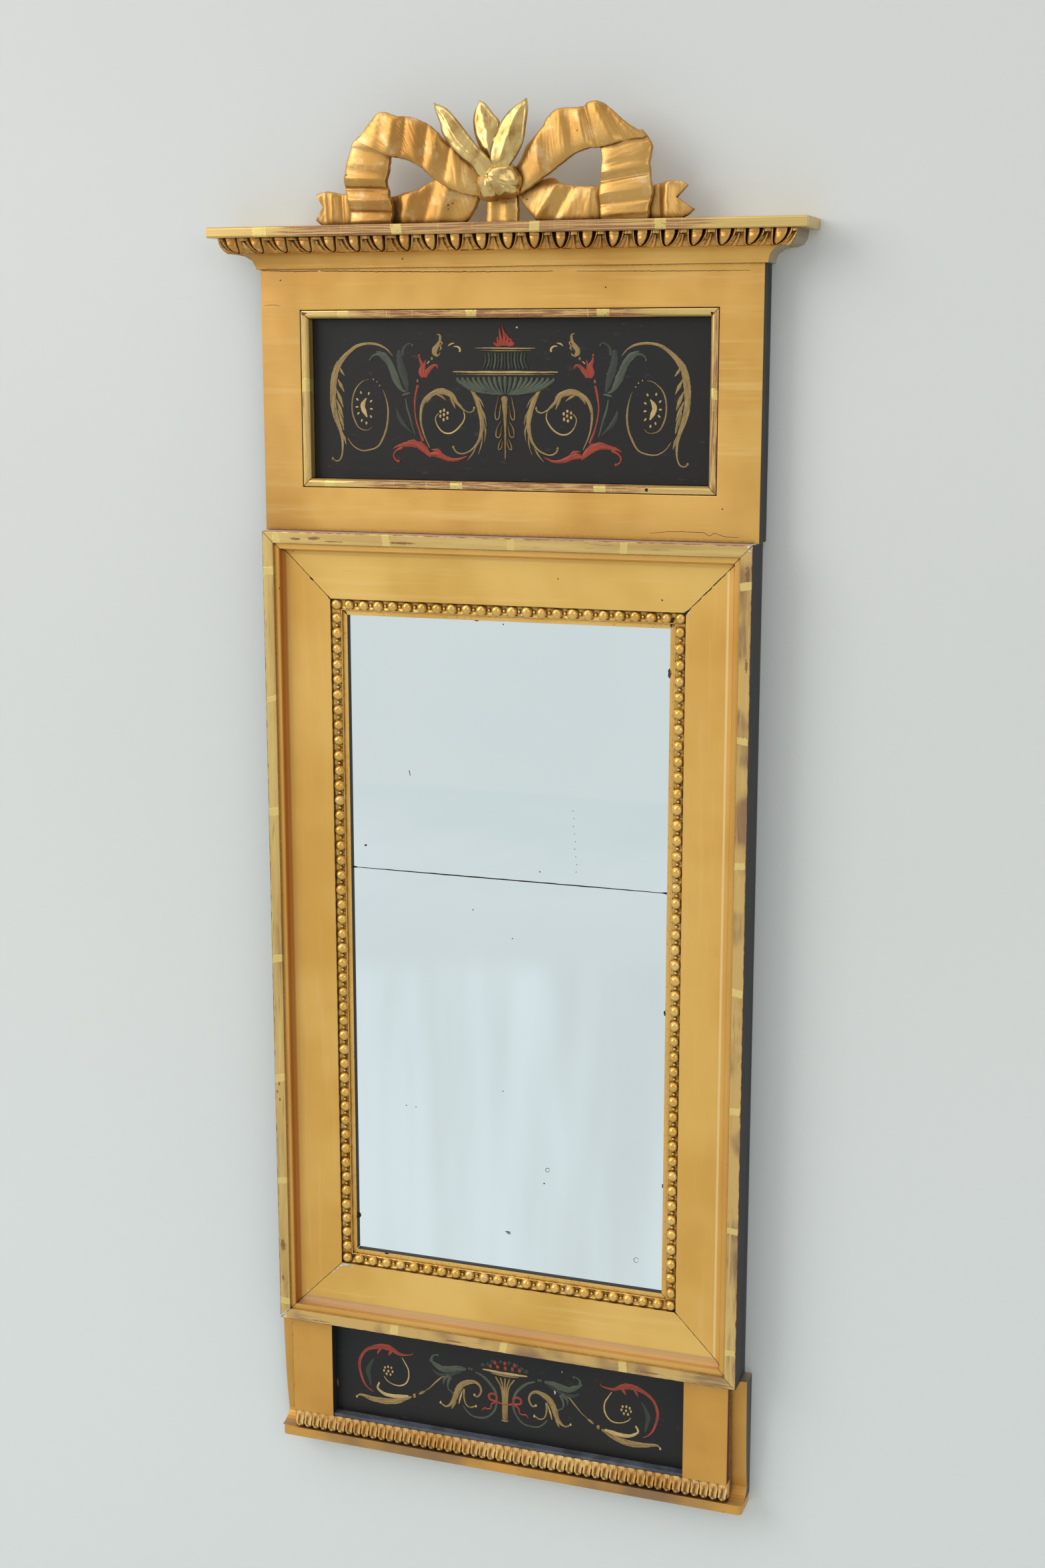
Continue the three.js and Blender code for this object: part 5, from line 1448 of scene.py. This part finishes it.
panelDots = [
    ("pale", 0.75, [(-80.3, 0.6), (-80.5, 3.4), (-78.2, 3), (-77.4, 0.6), (-79, -1.6), (-81.6, -1.6),
                    (-83.3, 0.5), (-82.6, 2.6)]),
    ("gold", 1.2, [(-62.5, -13.5)]),
    ("pale", 0.75, [(-102.5, -21), (-87, -9), (-21.5, -6), (-44.5, -15), (-20.5, -13.5)]),
    ("slate", 0.8, [(-24.8, 11.3), (-23.2, 11.2), (-46.3, 17.2), (-36.3, -6.8)]),
]


class Painter:     # gathers touches of one pattern, one closed skin each, sorted by colour
    def __init__(self, panel, middle, axis):
        self.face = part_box(panel)[0].y
        self.middle = middle
        self.axis = axis
        self.level = 0.05
        self.shells = {tone: Shell() for tone in paints}
        self.marks = {tone: [] for tone in paints}

    def touch(self, tone, widths, points, turned=False):
        points = [(2 * self.axis - x if turned else x, z) for x, z in points]
        length = sum(math.dist(a, b) for a, b in zip(points, points[1:]))
        path = smoothPath(points, max(6, int(3 * length ** 0.8)))
        count = len(path)
        wide = spread(widths, count)
        self.level += 0.003
        seed = self.level * 90 + (50 if turned else 0)
        rings = []
        gone = 0.0
        for i, (x, z) in enumerate(path):
            before, after = path[max(0, i - 1)], path[min(count - 1, i + 1)]
            length = math.hypot(after[0] - before[0], after[1] - before[1]) or 1.0
            side = (-(after[1] - before[1]) / length, (after[0] - before[0]) / length)
            gone += length / 2
            shaky = 1 + 0.16 * noise.noise(Vector((x * 0.9, z * 0.9, seed)))
            half = max(0.08, wide[i] * shaky * 0.62) * (0.55 if i in (0, count - 1) else 1)
            x += 0.22 * noise.noise(Vector((x * 0.12, z * 0.12, seed)))
            z += 0.22 * noise.noise(Vector((x * 0.12, z * 0.12, seed + 5)))
            ring = []
            for across, up in ((-1, -0.1), (-0.85, 0.7), (0, 1), (0.85, 0.7), (1, -0.1)):
                ring.append(Vector(((x + side[0] * across * half) * mm, self.face - up * self.level * mm,
                                    self.middle + (z + side[1] * across * half) * mm)))
                self.marks[tone].append((gone, across * half * 2.4, seed))
            rings.append(ring)
        self.shells[tone].loft(rings)

    def both(self, tone, widths, points):
        self.touch(tone, widths, points)
        self.touch(tone, widths, points, turned=True)

    def dot(self, tone, radius, x, z):
        for turned in (False, True):
            ends = [(x - radius * 0.8, z), (x + radius * 0.8, z)]
            self.touch(tone, [radius * 1.5, radius * 2.1, radius * 1.5], ends, turned)

    def finish(self, name):
        for tone, shell in self.shells.items():
            if shell.verts:
                piece = shell.add(name + tone.capitalize(), paints[tone], slot="black_ground", sharp=80)
                marks = piece.data.attributes.new("brush", "FLOAT_VECTOR", "POINT")
                marks.data.foreach_set("vector", [value for mark in self.marks[tone] for value in mark])


def paintFrieze():
    middle = (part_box("frieze_panel")[0].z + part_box("frieze_panel")[1].z) / 2
    painter = Painter("frieze_panel", middle, -1.0)
    axis = painter.axis
    for touch in friezeTouches:
        painter.both(*touch)
    heart = (-89, -4.5)
    for x, z in friezePetals:
        away = Vector((x - heart[0], z - heart[1])).normalized() * 0.95
        painter.both("pale", [0.4, 1.0, 0.9, 0.3], [(x - away.x, z - away.y), (x + away.x, z + away.y)])
    for tone, radius, places in friezeDots:
        for x, z in places:
            painter.dot(tone, radius, x, z)
    # tazza: fluted bowl and neck between gold lines
    for k in range(-9, 10):
        top, low = axis + k * 3.3, axis + k * 0.75
        flute = [(top, 13.6 - 0.1 * abs(k)), (top * 0.93 + low * 0.07, 10.5),
                 (top * 0.6 + low * 0.4, 6.2), (low, 3.0)]
        painter.touch("slate", [1.6, 1.9, 1.2, 0.5], flute)
        if abs(k) < 7:
            neck = [(axis + k * 2.05, 27), (axis + k * 1.95, 22.5), (axis + k * 2.3, 17.6)]
            painter.touch("slate" if k % 2 else "moss", [0.7, 0.9, 0.8], neck)
    for z, reach, width, tone in ((29.4, 18.5, 0.6, "pale"), (28.1, 16, 0.45, "gold"), (16, 32, 1.0, "pale"),
                                  (14.7, 30, 0.5, "gold")):
        line = [(axis - reach, z), (axis, z - 0.1), (axis + reach, z)]
        painter.touch(tone, [width * 0.5, width, width, width * 0.5], line)
    for lean, height in ((-4.5, 36), (-3.2, 41), (-1.0, 42), (1.0, 38.5), (3.0, 35.5), (-6.5, 33), (4.5, 33)):
        flame = [(axis + lean * 0.5, 30.6), (axis + lean * 1.1 + 0.6, (height + 31) / 2),
                 (axis + lean * 0.8 - 0.8, height)]
        painter.touch("red", [1.2, 1.7, 1.1, 0.4], flame)
    painter.touch("gold", [3.4, 2.0, 1.1, 0.8, 0.4], [(axis - 0.4, 2.3), (axis, -10.5), (axis + 0.2, -34)])
    for drop in ([(-5, 2), (-6, -2.5), (-7, -7.5), (-6.4, -11), (-4.6, -9.5), (-3.6, -2.5)],
                 [(-3.6, -12), (-6, -16), (-6.5, -20.4), (-4.2, -20.4), (-2.8, -14.5)],
                 [(-2.8, -21.5), (-4.6, -25), (-5, -28), (-3.2, -27), (-2.3, -23)]):
        painter.both("gold", [0.3, 0.55, 0.5, 0.3], drop)
    painter.finish("friezePaint")


def paintLowerPanel():
    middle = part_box("plinth_panel")[1].z - 0.032
    painter = Painter("plinth_panel", middle, -0.9)
    axis = painter.axis
    for touch in panelTouches:
        painter.both(*touch)
    for tone, radius, places in panelDots:
        for x, z in places:
            painter.dot(tone, radius, x, z)
    for k in (-1.5, -0.75, 0, 0.75, 1.5):
        shaft = [(axis + k * 4.2, 9), (axis + k * 1.4, 0.3), (axis + k * 0.9, -19.5)]
        painter.touch("gold", [0.8, 0.9, 0.7, 0.6], shaft)
    painter.touch("gold", [0.5, 1.0, 0.5], [(axis - 2.4, -19.9), (axis, -20.1), (axis + 2.4, -19.9)])
    tie = [(-7, -7.6), (-4.5, -8.5), (axis, -8.9), (3, -8.5), (5.2, -7.6)]
    painter.touch("red", [1.2, 1.0, 1.0, 1.2], tie)
    for x, z in ((-12, 16.5), (-15.5, 15.6), (-9, 19), (-3.5, 19.5), (2, 19.6), (7, 18.8), (10.5, 17),
                 (13.5, 15.8)):
        painter.touch("moss", [0.8, 2.6, 0.8], [(x - 1.8, z - 0.6), (x, z), (x + 1.6, z + 0.8)])
    for x, z in ((-10.6, 15.6), (-5.6, 15.6), (-0.6, 15.5), (4.2, 15.6), (8.8, 15.6), (-7.4, 18.6),
    (5.5, 18.4),
                 (-1, 18.9)):
        painter.touch("red", [1.9, 2.6, 1.9], [(x - 1.0, z), (x + 1.0, z + 0.2)])
        painter.touch("moss", [0.2, 0.4, 0.2], [(x - 0.5, z - 0.2), (x + 0.4, z + 0.3)])
    painter.touch("pale", [0.6, 1.5, 1.5, 0.6], [(axis - 15, 12.6), (axis, 12.0), (axis + 15, 12.6)])
    painter.touch("gold", [0.3, 0.8, 0.8, 0.3], [(axis - 9.5, 10.9), (axis, 10.4), (axis + 9.5, 10.9)])
    painter.finish("lowerPaint")


paintFrieze()
paintLowerPanel()
print("ornament painted")


# cracks, chips and old spots, in mm, laid on whatever surface is there; the larger ones were picked in the
# photo and projected like the ornament

def skinOfFrame():
    bpy.context.view_layer.update()
    verts, faces = [], []
    for node in nodes.values():
        if node.type != "MESH":
            continue
        start = len(verts)
        verts.extend(node.matrix_world @ v.co for v in node.data.vertices)
        faces.extend([start + k for k in face.vertices] for face in node.data.polygons)
    return BVHTree.FromPolygons(verts, faces)


class Marks:
    def __init__(self, skin, lift):
        self.skin = skin
        self.lift = lift * mm
        self.shell = Shell()

    def onto(self, x, z, lift):
        # the point on the front surface at x, z (mm), raised by lift (mm)
        hit = self.skin.ray_cast(Vector((x * mm, -0.3, z * mm)), Vector((0, 1, 0)))[0]
        return Vector((x * mm, (hit.y if hit else 0.0) - lift * mm - self.lift, z * mm))

    def line(self, points, width, seed=0, jitter=0.22, swell=(), step=1.0):
        # swell: (place along, extra width, reach along), all 0-1 along the line except the width
        path = np.array(points, float)
        length = np.linalg.norm(np.diff(path, axis=0), axis=1).sum()
        path = smoothPath(points, max(4, int(length / step)))
        rings = []
        for i, (x, z) in enumerate(path):
            t = i / (len(path) - 1)
            ahead = path[min(i + 1, len(path) - 1)] - path[max(i - 1, 0)]
            across = np.array([-ahead[1], ahead[0]]) / (np.linalg.norm(ahead) or 1)
            shake = jitter * (noise.noise(Vector((t * length * 0.35, seed, 0))) * 1.6
                              + noise.noise(Vector((t * length * 1.4, seed, 5))) * 0.6)
            wide = width * (0.4 + 0.6 * math.sin(math.pi * min(0.97, max(0.03, t))) ** 0.5)
            wide *= 1 + 0.5 * noise.noise(Vector((t * length * 0.8, seed, 9)))
            for at, extra, reach in swell:
                wide += extra * math.exp(-((t - at) / reach) ** 2)
            middle = np.array([x, z]) + across * shake
            a, b = middle + across * wide / 2, middle - across * wide / 2
            rings.append([self.onto(*a, 0.0), self.onto(*b, 0.0), self.onto(*b, -0.3), self.onto(*a, -0.3)])
        self.shell.loft(rings)

    def spot(self, x, z, wide, tall, seed=0, height=0.1, turn=0.0, ragged=0.5):
        levels = ((1.0, -0.3), (1.0, 0.0), (0.8, height), (0.4, height * 1.1))     # (size, lift)
        rings = [[] for _ in levels]
        for k in range(14):
            angle = 2 * math.pi * k / 14
            way = Vector((math.cos(angle) * 1.3, math.sin(angle) * 1.3, seed * 3.7 + 1))
            r = 1 + ragged * noise.noise(way)
            for ring, (grow, lift) in enumerate(levels):
                dx, dz = r * grow * wide * math.cos(angle), r * grow * tall * math.sin(angle)
                rings[ring].append(self.onto(x + dx * math.cos(turn) - dz * math.sin(turn),
                                             z + dx * math.sin(turn) + dz * math.cos(turn), lift))
        self.shell.loft(rings)

    def finish(self, name, material):
        self.shell.add(name, material, sharp=60)


marks = {
    "mitres": [("left", "top", 9, 41.5, 0.34, [(0.6, 0.75, 0.03), (1.0, 1.3, 0.07)]),
               ("right", "top", 9, 42, 0.42, [(0.5, 0.2, 0.3), (1.0, 2.0, 0.09)]),
               ("left", "bottom", 14, 41, 0.26, [(1.0, 0.5, 0.05)]),
               ("right", "bottom", 12, 41, 0.34, [(1.0, 0.9, 0.06)])],
    "cracks": [([(-150, 66.6), (-128, 65.8), (-112, 65.9), (-66, 65.0), (-22, 64.4), (30, 64.1)], 0.42),
               ([(44, 63.9), (100, 63.4), (143, 63.3)], 0.3), ([(-149, 46.6), (-143, 46.9),
               (-138.6, 46.3)], 0.2),
               ([(88, -80.6), (99, -79.4), (118, -79.3), (122.5, -81), (126, -79.6), (132, -81.3),
               (140, -81.6)], 0.24),
               ([(-62.3, -227.2), (-61.6, -230.6)], 0.5), ([(-144.3, -593), (-144.3, -653)], 0.22),
               ([(-104, -130.4), (-99.8, -134.8)], 0.9), ([(102.4, -128), (99.9, -134.6)], 1.0),
               ([(-103.2, -545.3), (-100.2, -541.5)], 0.8)],
    "glassSpots": [(-91.4, -275.8, 0.8, 0.7), (21.1, -283.5, 0.45, 0.45), (-21.4, -310.5, 0.4, 0.35),
                   (3.8, -326.2, 0.35, 0.35), (-18.3, -134.8, 1.3, 0.5), (-1.7, -136.4, 0.4, 0.4),
                   (99.8, -160.3, 1.3, 3.0), (0.8, -514.5, 1.9, 0.4), (1.4, -515.6, 1.4, 0.25),
                   (24.3, -479.5, 0.5, 0.5), (-2.4, -423.4, 0.35, 0.35), (-66.5, -440.1, 0.4, 0.4),
                   (-60, -440.4, 0.35, 0.3), (-99.6, -517.4, 1.2, 1.9), (99.7, -362.8, 0.9, 1.6),
                   (99.6, -471, 0.7, 1.2), (-80, -539.6, 1.6, 0.5)],
    "glassRings": [(83.4, -520.9, 1.5), (26.5, -470.5, 1.3)],
    "pinHoles": [(122.2, 40.6, 0.8), (86, -56.2, 0.9), (-140, -119, 0.45), (34, -108, 0.4), (96, -118, 0.5),
                 (-138.4, 61, 0.4), (61, 55, 0.4), (130, -66, 0.4), (-60, 72, 0.35), (-133, -97, 0.3)],
    "chips": [(-148.6, -587.2, 1.9, 1.1), (-146.7, -585.2, 1.9, 1.0), (-144.7, -583, 1.7, 1.1),
              (-112.4, -553.0, 1.5, 0.6), (-115.4, -555.8, 1.2, 0.5), (-106.6, -550.0, 2.6, 0.8),
              (-102.4, -550.3, 2.4, 0.6), (-109.6, -550.4, 1.5, 0.9), (-133, -570.8, 1.0, 0.8),
              (149.0, -85.9, 1.7, 1.0), (147.4, -88.2, 1.1, 0.6), (126.6, -655.9, 2.2, 0.6),
              (32.1, -615.5, 0.55, 1.2), (36.8, -601.3, 0.4, 0.5), (6.1, 33.5, 0.6, 0.45),
              (-113.5, 65.8, 1.1, 0.4), (112, -124.6, 0.8, 0.5), (101, -585, 0.8, 0.4)],
    "fillets": [([(116.2, -590.2), (124, -589.7), (132.4, -589.6)], 0.8)],
    "brown": [(-124.2, 41.6, 1.9, 1.2), (-116.0, -634, 0.35, 2.6)],
}


def buildMarks():
    skin = skinOfFrame()
    dark, pale, brown = Marks(skin, 0.05), Marks(skin, 0.06), Marks(skin, 0.04)
    for side, end, start, stop, width, swell in marks["mitres"]:
        sx = -1 if side == "left" else 1
        cz, sz = (mainHigh.z / mm, -1) if end == "top" else (mainLow.z / mm, 1)
        points = [(sx * (halfWidth / mm - i), cz + sz * i) for i in (start, (start + stop) / 2, stop)]
        dark.line(points, width, seed=len(side + end), swell=swell)
    for k, (points, width) in enumerate(marks["cracks"]):
        dark.line(points, width, seed=20 + k)
    low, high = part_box("glass_upper")
    seam = low.z / mm - 0.15
    dark.line([(-100.6, seam), (0, seam), (100.6, seam)], 0.75, seed=3, jitter=0.05, step=4)
    for k, (x, z, wide, tall) in enumerate(marks["glassSpots"]):
        dark.spot(x, z, wide, tall, seed=k, height=0.02)
    for x, z, radius in marks["glassRings"]:
        ring = [(x + radius * math.cos(a), z + radius * math.sin(a)) for a in np.linspace(0.3, 6.1, 12)]
        dark.line(ring, 0.3, seed=x, jitter=0.1, step=0.5)
    for k in range(9):
        dark.spot(41.8 + 0.3 * k + 0.4 * math.sin(k * 2.1), -245 - 4.6 * k, 0.2, 0.35, seed=k, height=0.02)
    for k, (x, z, radius) in enumerate(marks["pinHoles"]):
        dark.spot(x, z, radius, radius, seed=40 + k, height=0.0)
    for k, (x, z, wide, tall) in enumerate(marks["chips"]):
        turn = 0.75 if k < 5 else 0.0
        pale.spot(x, z, wide, tall, seed=60 + k, turn=turn, ragged=0.9)
    for k, (points, width) in enumerate(marks["fillets"]):
        pale.line(points, width, seed=80 + k)
    for k, (x, z, wide, tall) in enumerate(marks["brown"]):
        brown.spot(x, z, wide, tall, seed=90 + k, height=0.02, ragged=0.9)
    brown.line([(144.3, -592), (144.3, -620), (144.3, -654)], 0.9, seed=5, jitter=0.05)
    dark.finish("cracks", crackDark)
    pale.finish("chips", gesso)
    brown.finish("wornSpots", wornBole)


buildMarks()
print("marks done")


# hanging ring and staple

hanger = {"ringSteps": (64, 20), "nailHead": 0.0021}


def buildRing():
    low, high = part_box("hanging_ring")
    centre = (low + high) / 2
    wire = (high.y - low.y) / 2
    radius = (high.x - low.x) / 2 - wire
    turns, around = hanger["ringSteps"]
    rings = []
    for i in range(turns):
        a = 2 * math.pi * i / turns
        ring = []
        for j in range(around):
            b = 2 * math.pi * j / around
            out = radius + wire * math.cos(b)
            ring.append(centre + Vector((out * math.cos(a), wire * math.sin(b), out * math.sin(a))))
        rings.append(ring)
    shell = Shell()
    shell.loft(rings, closedLoop=True)
    shell.add("ring", iron, replaced=("hanging_ring",), slot="iron", body="ring")


buildRing()
dress(iron, "hanging_staple", edge=0.0)


def buildNails():
    shell = Shell()
    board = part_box("backboard")
    places = []
    for z in np.linspace(board[0].z + 0.012, board[1].z - 0.012, 7):
        places += [(board[0].x + 0.006, board[1].y, z), (board[1].x - 0.006, board[1].y, z)]
    for x in (-0.06, 0.06):
        places += [(x, board[1].y, board[0].z + 0.006), (x, board[1].y, board[1].z - 0.006)]
    for x, y, z in places:
        size = hanger["nailHead"] * chance.uniform(0.8, 1.1)
        shell.dome(Vector((x + chance.uniform(-1, 1) * mm, y + 0.0001, z + chance.uniform(-2, 2) * mm)),
                   (size, 0.0007, size), steps=(10, 6))
    shell.add("boardNails", iron, slot="iron")


buildNails()
print("back done")


# room, light and camera

room = {
    "wall": rgb(213, 217, 218), "wallCloud": rgb(206, 211, 210), "wallLowPaintedLight": rgb(214, 222, 224),
    "wallHighPaintedShade": rgb(205, 209, 210), "floor": rgb(206, 206, 202), "floorDrop": 0.95, "floorDepth": 3.3,
    "halfAcross": 5.0,
    "glossFloor": rgb(229, 235, 236), "glossFloorDark": rgb(219, 227, 229),
    "cloth": {"middle": (-0.2745, -0.818), "way": (0.943, -0.333), "half": 0.5, "top": -0.578,
              "dark": rgb(221, 227, 228), "pale": rgb(233, 241, 244), "above": rgb(224, 230, 231)},
    "glossFar": (0.75, 0.79, 0.80, 1),
    "keyPower": 26.5, "fillPower": 6.5, "bouncePower": 6.0, "backPower": 12.0, "worldLight": 0.44,
}


def addSheet(name, material, corners):
    mesh = bpy.data.meshes.new(name)
    mesh.from_pydata(corners, [], [(0, 1, 2, 3)])
    mesh.materials.append(material)
    return linked(bpy.data.objects.new(name, mesh))


def buildWall():
    # the wall is seen only from the front, so that the back of the mirror can be looked at
    material, tree, place = emptyMaterial("wallPaint")
    paint = put(tree, "ShaderNodeBsdfDiffuse")
    rolled = noiseAt(tree, place, 260, 4, 0.6)
    broad = noiseAt(tree, place, 3, 2)
    painted = mixColour(tree, broad, room["wall"], room["wallCloud"])
    split = axesOf(tree, place)
    # painted light: the wall is paler and cooler lower down, darker higher up
    painted = mixColour(tree, stepUp(tree, split[2], 0.0, -0.75), painted, room["wallLowPaintedLight"])
    painted = mixColour(tree, stepUp(tree, split[2], 0.0, 0.35), painted, room["wallHighPaintedShade"])
    tree.links.new(painted, paint.inputs["Color"])
    bump = put(tree, "ShaderNodeBump", {"Height": rolled, "Distance": 0.0004, "Strength": 0.35})
    tree.links.new(bump.outputs["Normal"], paint.inputs["Normal"])
    clear = put(tree, "ShaderNodeBsdfTransparent")
    behind = put(tree, "ShaderNodeNewGeometry").outputs["Backfacing"]
    mix = put(tree, "ShaderNodeMixShader", {0: behind, 1: paint.outputs[0], 2: clear.outputs[0]})
    put(tree, "ShaderNodeOutputMaterial", {"Surface": mix.outputs[0]})
    y, low, high, side = 0.0006, -room["floorDrop"], 4.0, room["halfAcross"]
    wall = addSheet("wall", material, [(-side, y, low), (side, y, low), (side, y, high), (-side, y, high)])
    wall.visible_shadow = False
    wall.visible_diffuse = False


def buildFloor():
    material, tree, place = emptyMaterial("floorPaint")
    paint = put(tree, "ShaderNodeBsdfDiffuse", {"Color": room["floor"]})
    # painted reflection: to glossy rays the floor is a glowing cloudy sheet, to other rays plain paint
    cloudy = noiseAt(tree, stretched(tree, place, (1.2, 0.8, 1)), 0.9, 4, 0.6)
    seen = mixColour(tree, stepUp(tree, cloudy, 0.3, 0.7), room["glossFloor"], room["glossFloorDark"])
    shine = put(tree, "ShaderNodeEmission", {"Color": seen, "Strength": 1.0})
    glossy = put(tree, "ShaderNodeLightPath").outputs["Is Glossy Ray"]
    mix = put(tree, "ShaderNodeMixShader", {0: glossy, 1: paint.outputs[0], 2: shine.outputs[0]})
    put(tree, "ShaderNodeOutputMaterial", {"Surface": mix.outputs[0]})
    z, far, near, side = -room["floorDrop"], -room["floorDepth"], 0.6, room["halfAcross"]
    floor = addSheet("floor", material, [(-side, far, z), (side, far, z), (side, near, z), (-side, near, z)])


def buildCloth():
    # a white cloth hanging across the room, seen only in the glass, drawn as a glowing sheet: a painted
    # reflection, its folds painted as light and shade, with a painted shade band above its top edge
    look = room["cloth"]
    material, tree, place = emptyMaterial("clothShine")
    height = axesOf(tree, place)[2]
    # painted light and shade of the folds
    folds = noiseAt(tree, stretched(tree, place, (1, 1, 0.13)), 13, 3, 0.5)
    folds = stepUp(tree, folds, 0.36, 0.64)
    tone = mixColour(tree, folds, look["dark"], look["pale"])
    edge = look["top"]
    # painted shade: a slightly darker band just above the top edge
    tone = mixColour(tree, stepUp(tree, height, edge - 0.03, edge + 0.004), tone, look["above"])
    shine = put(tree, "ShaderNodeEmission", {"Color": tone})
    clear = put(tree, "ShaderNodeBsdfTransparent")
    fade = stepUp(tree, height, edge, edge + 0.07)
    fade = times(tree, fade, fade)
    mix = put(tree, "ShaderNodeMixShader", {0: fade, 1: shine.outputs[0], 2: clear.outputs[0]})
    put(tree, "ShaderNodeOutputMaterial", {"Surface": mix.outputs[0]})
    (x, y), (dx, dy), half = look["middle"], look["way"], look["half"]
    low, high = -room["floorDrop"], edge + 0.08
    left, right = (x - dx * half, y - dy * half), (x + dx * half, y + dy * half)
    cloth = addSheet("cloth", material, [(*left, low), (*right, low), (*right, high), (*left, high)])
    cloth.visible_camera = False
    cloth.visible_diffuse = False
    cloth.visible_shadow = False


def buildWorld():
    world = bpy.data.worlds.new("room")
    bpy.context.scene.world = world
    world.use_nodes = True
    tree = world.node_tree
    tree.nodes.clear()
    direction = put(tree, "ShaderNodeTexCoord").outputs["Generated"]
    split = axesOf(tree, direction)
    up = stepUp(tree, split[2], -0.3, 0.9)
    left = stepUp(tree, split[0], 0.6, -0.9)
    bright = calc(tree, "MULTIPLY_ADD", up, 0.28, calc(tree, "MULTIPLY_ADD", left, 0.28, room["worldLight"]))
    grey = put(tree, "ShaderNodeCombineColor", {0: bright, 1: bright, 2: bright}).outputs[0]
    light = mixColour(tree, 1.0, grey, (1.0, 0.985, 0.955, 1), "MULTIPLY")
    paths = put(tree, "ShaderNodeLightPath").outputs
    seen = mixColour(tree, paths["Is Camera Ray"], light, rgb(208, 209, 206))
    low = times(tree, paths["Is Glossy Ray"], calc(tree, "LESS_THAN", split[2], 0.0))
    seen = mixColour(tree, low, seen, room["glossFar"])
    ground = put(tree, "ShaderNodeBackground", {"Color": seen, "Strength": 1.0})
    put(tree, "ShaderNodeOutputWorld", {"Surface": ground.outputs[0]})


def addLamp(name, place, target, size, power, colour):
    lamp = bpy.data.lights.new(name, "AREA")
    lamp.shape = "RECTANGLE"
    lamp.size, lamp.size_y = size
    lamp.energy = power
    lamp.color = colour
    holder = linked(bpy.data.objects.new(name, lamp))
    holder.location = place
    holder.rotation_mode = "QUATERNION"
    holder.rotation_quaternion = (Vector(target) - Vector(place)).to_track_quat("-Z", "Y")


# where the photo was taken from, solved from the corners of the frame and the panels
viewpoint = {
    "lens": 49.273, "sensor": 36.0, "place": (0.42477, -1.18649, 0.01873), "yaw": -0.3393, "pitch": -0.1978,
}


def buildCamera():
    camera = bpy.data.cameras.new("camera")
    camera.lens, camera.sensor_width = viewpoint["lens"], viewpoint["sensor"]
    camera.clip_start, camera.clip_end = 0.02, 50.0
    holder = linked(bpy.data.objects.new("camera", camera))
    holder.location = viewpoint["place"]
    yaw, pitch = viewpoint["yaw"], viewpoint["pitch"]
    look = Vector((math.sin(yaw) * math.cos(pitch), math.cos(yaw) * math.cos(pitch), math.sin(pitch)))
    holder.rotation_mode = "QUATERNION"
    holder.rotation_quaternion = look.to_track_quat("-Z", "Y")
    bpy.context.scene.camera = holder


buildWall()
buildFloor()
buildCloth()
buildWorld()
addLamp("windowLight", (-1.8, -1.6, 0.9), (0, 0, -0.1), (1.5, 1.8), room["keyPower"], (1.0, 0.975, 0.94))
addLamp("roomFill", (1.6, -1.9, 0.5), (0, 0, -0.2), (1.2, 1.2), room["fillPower"], (0.94, 0.97, 1.0))
addLamp("ceilingBounce", (-0.3, -1.1, 1.9), (0, 0, 0.1), (2.0, 0.9), room["bouncePower"], (1.0, 1.0, 1.0))
addLamp("backFill", (-0.6, 1.6, 0.8), (0, 0, -0.2), (1.5, 1.5), room["backPower"], (1.0, 1.0, 1.0))
buildCamera()
bpy.context.scene.view_settings.view_transform = "Standard"
print("room ready")
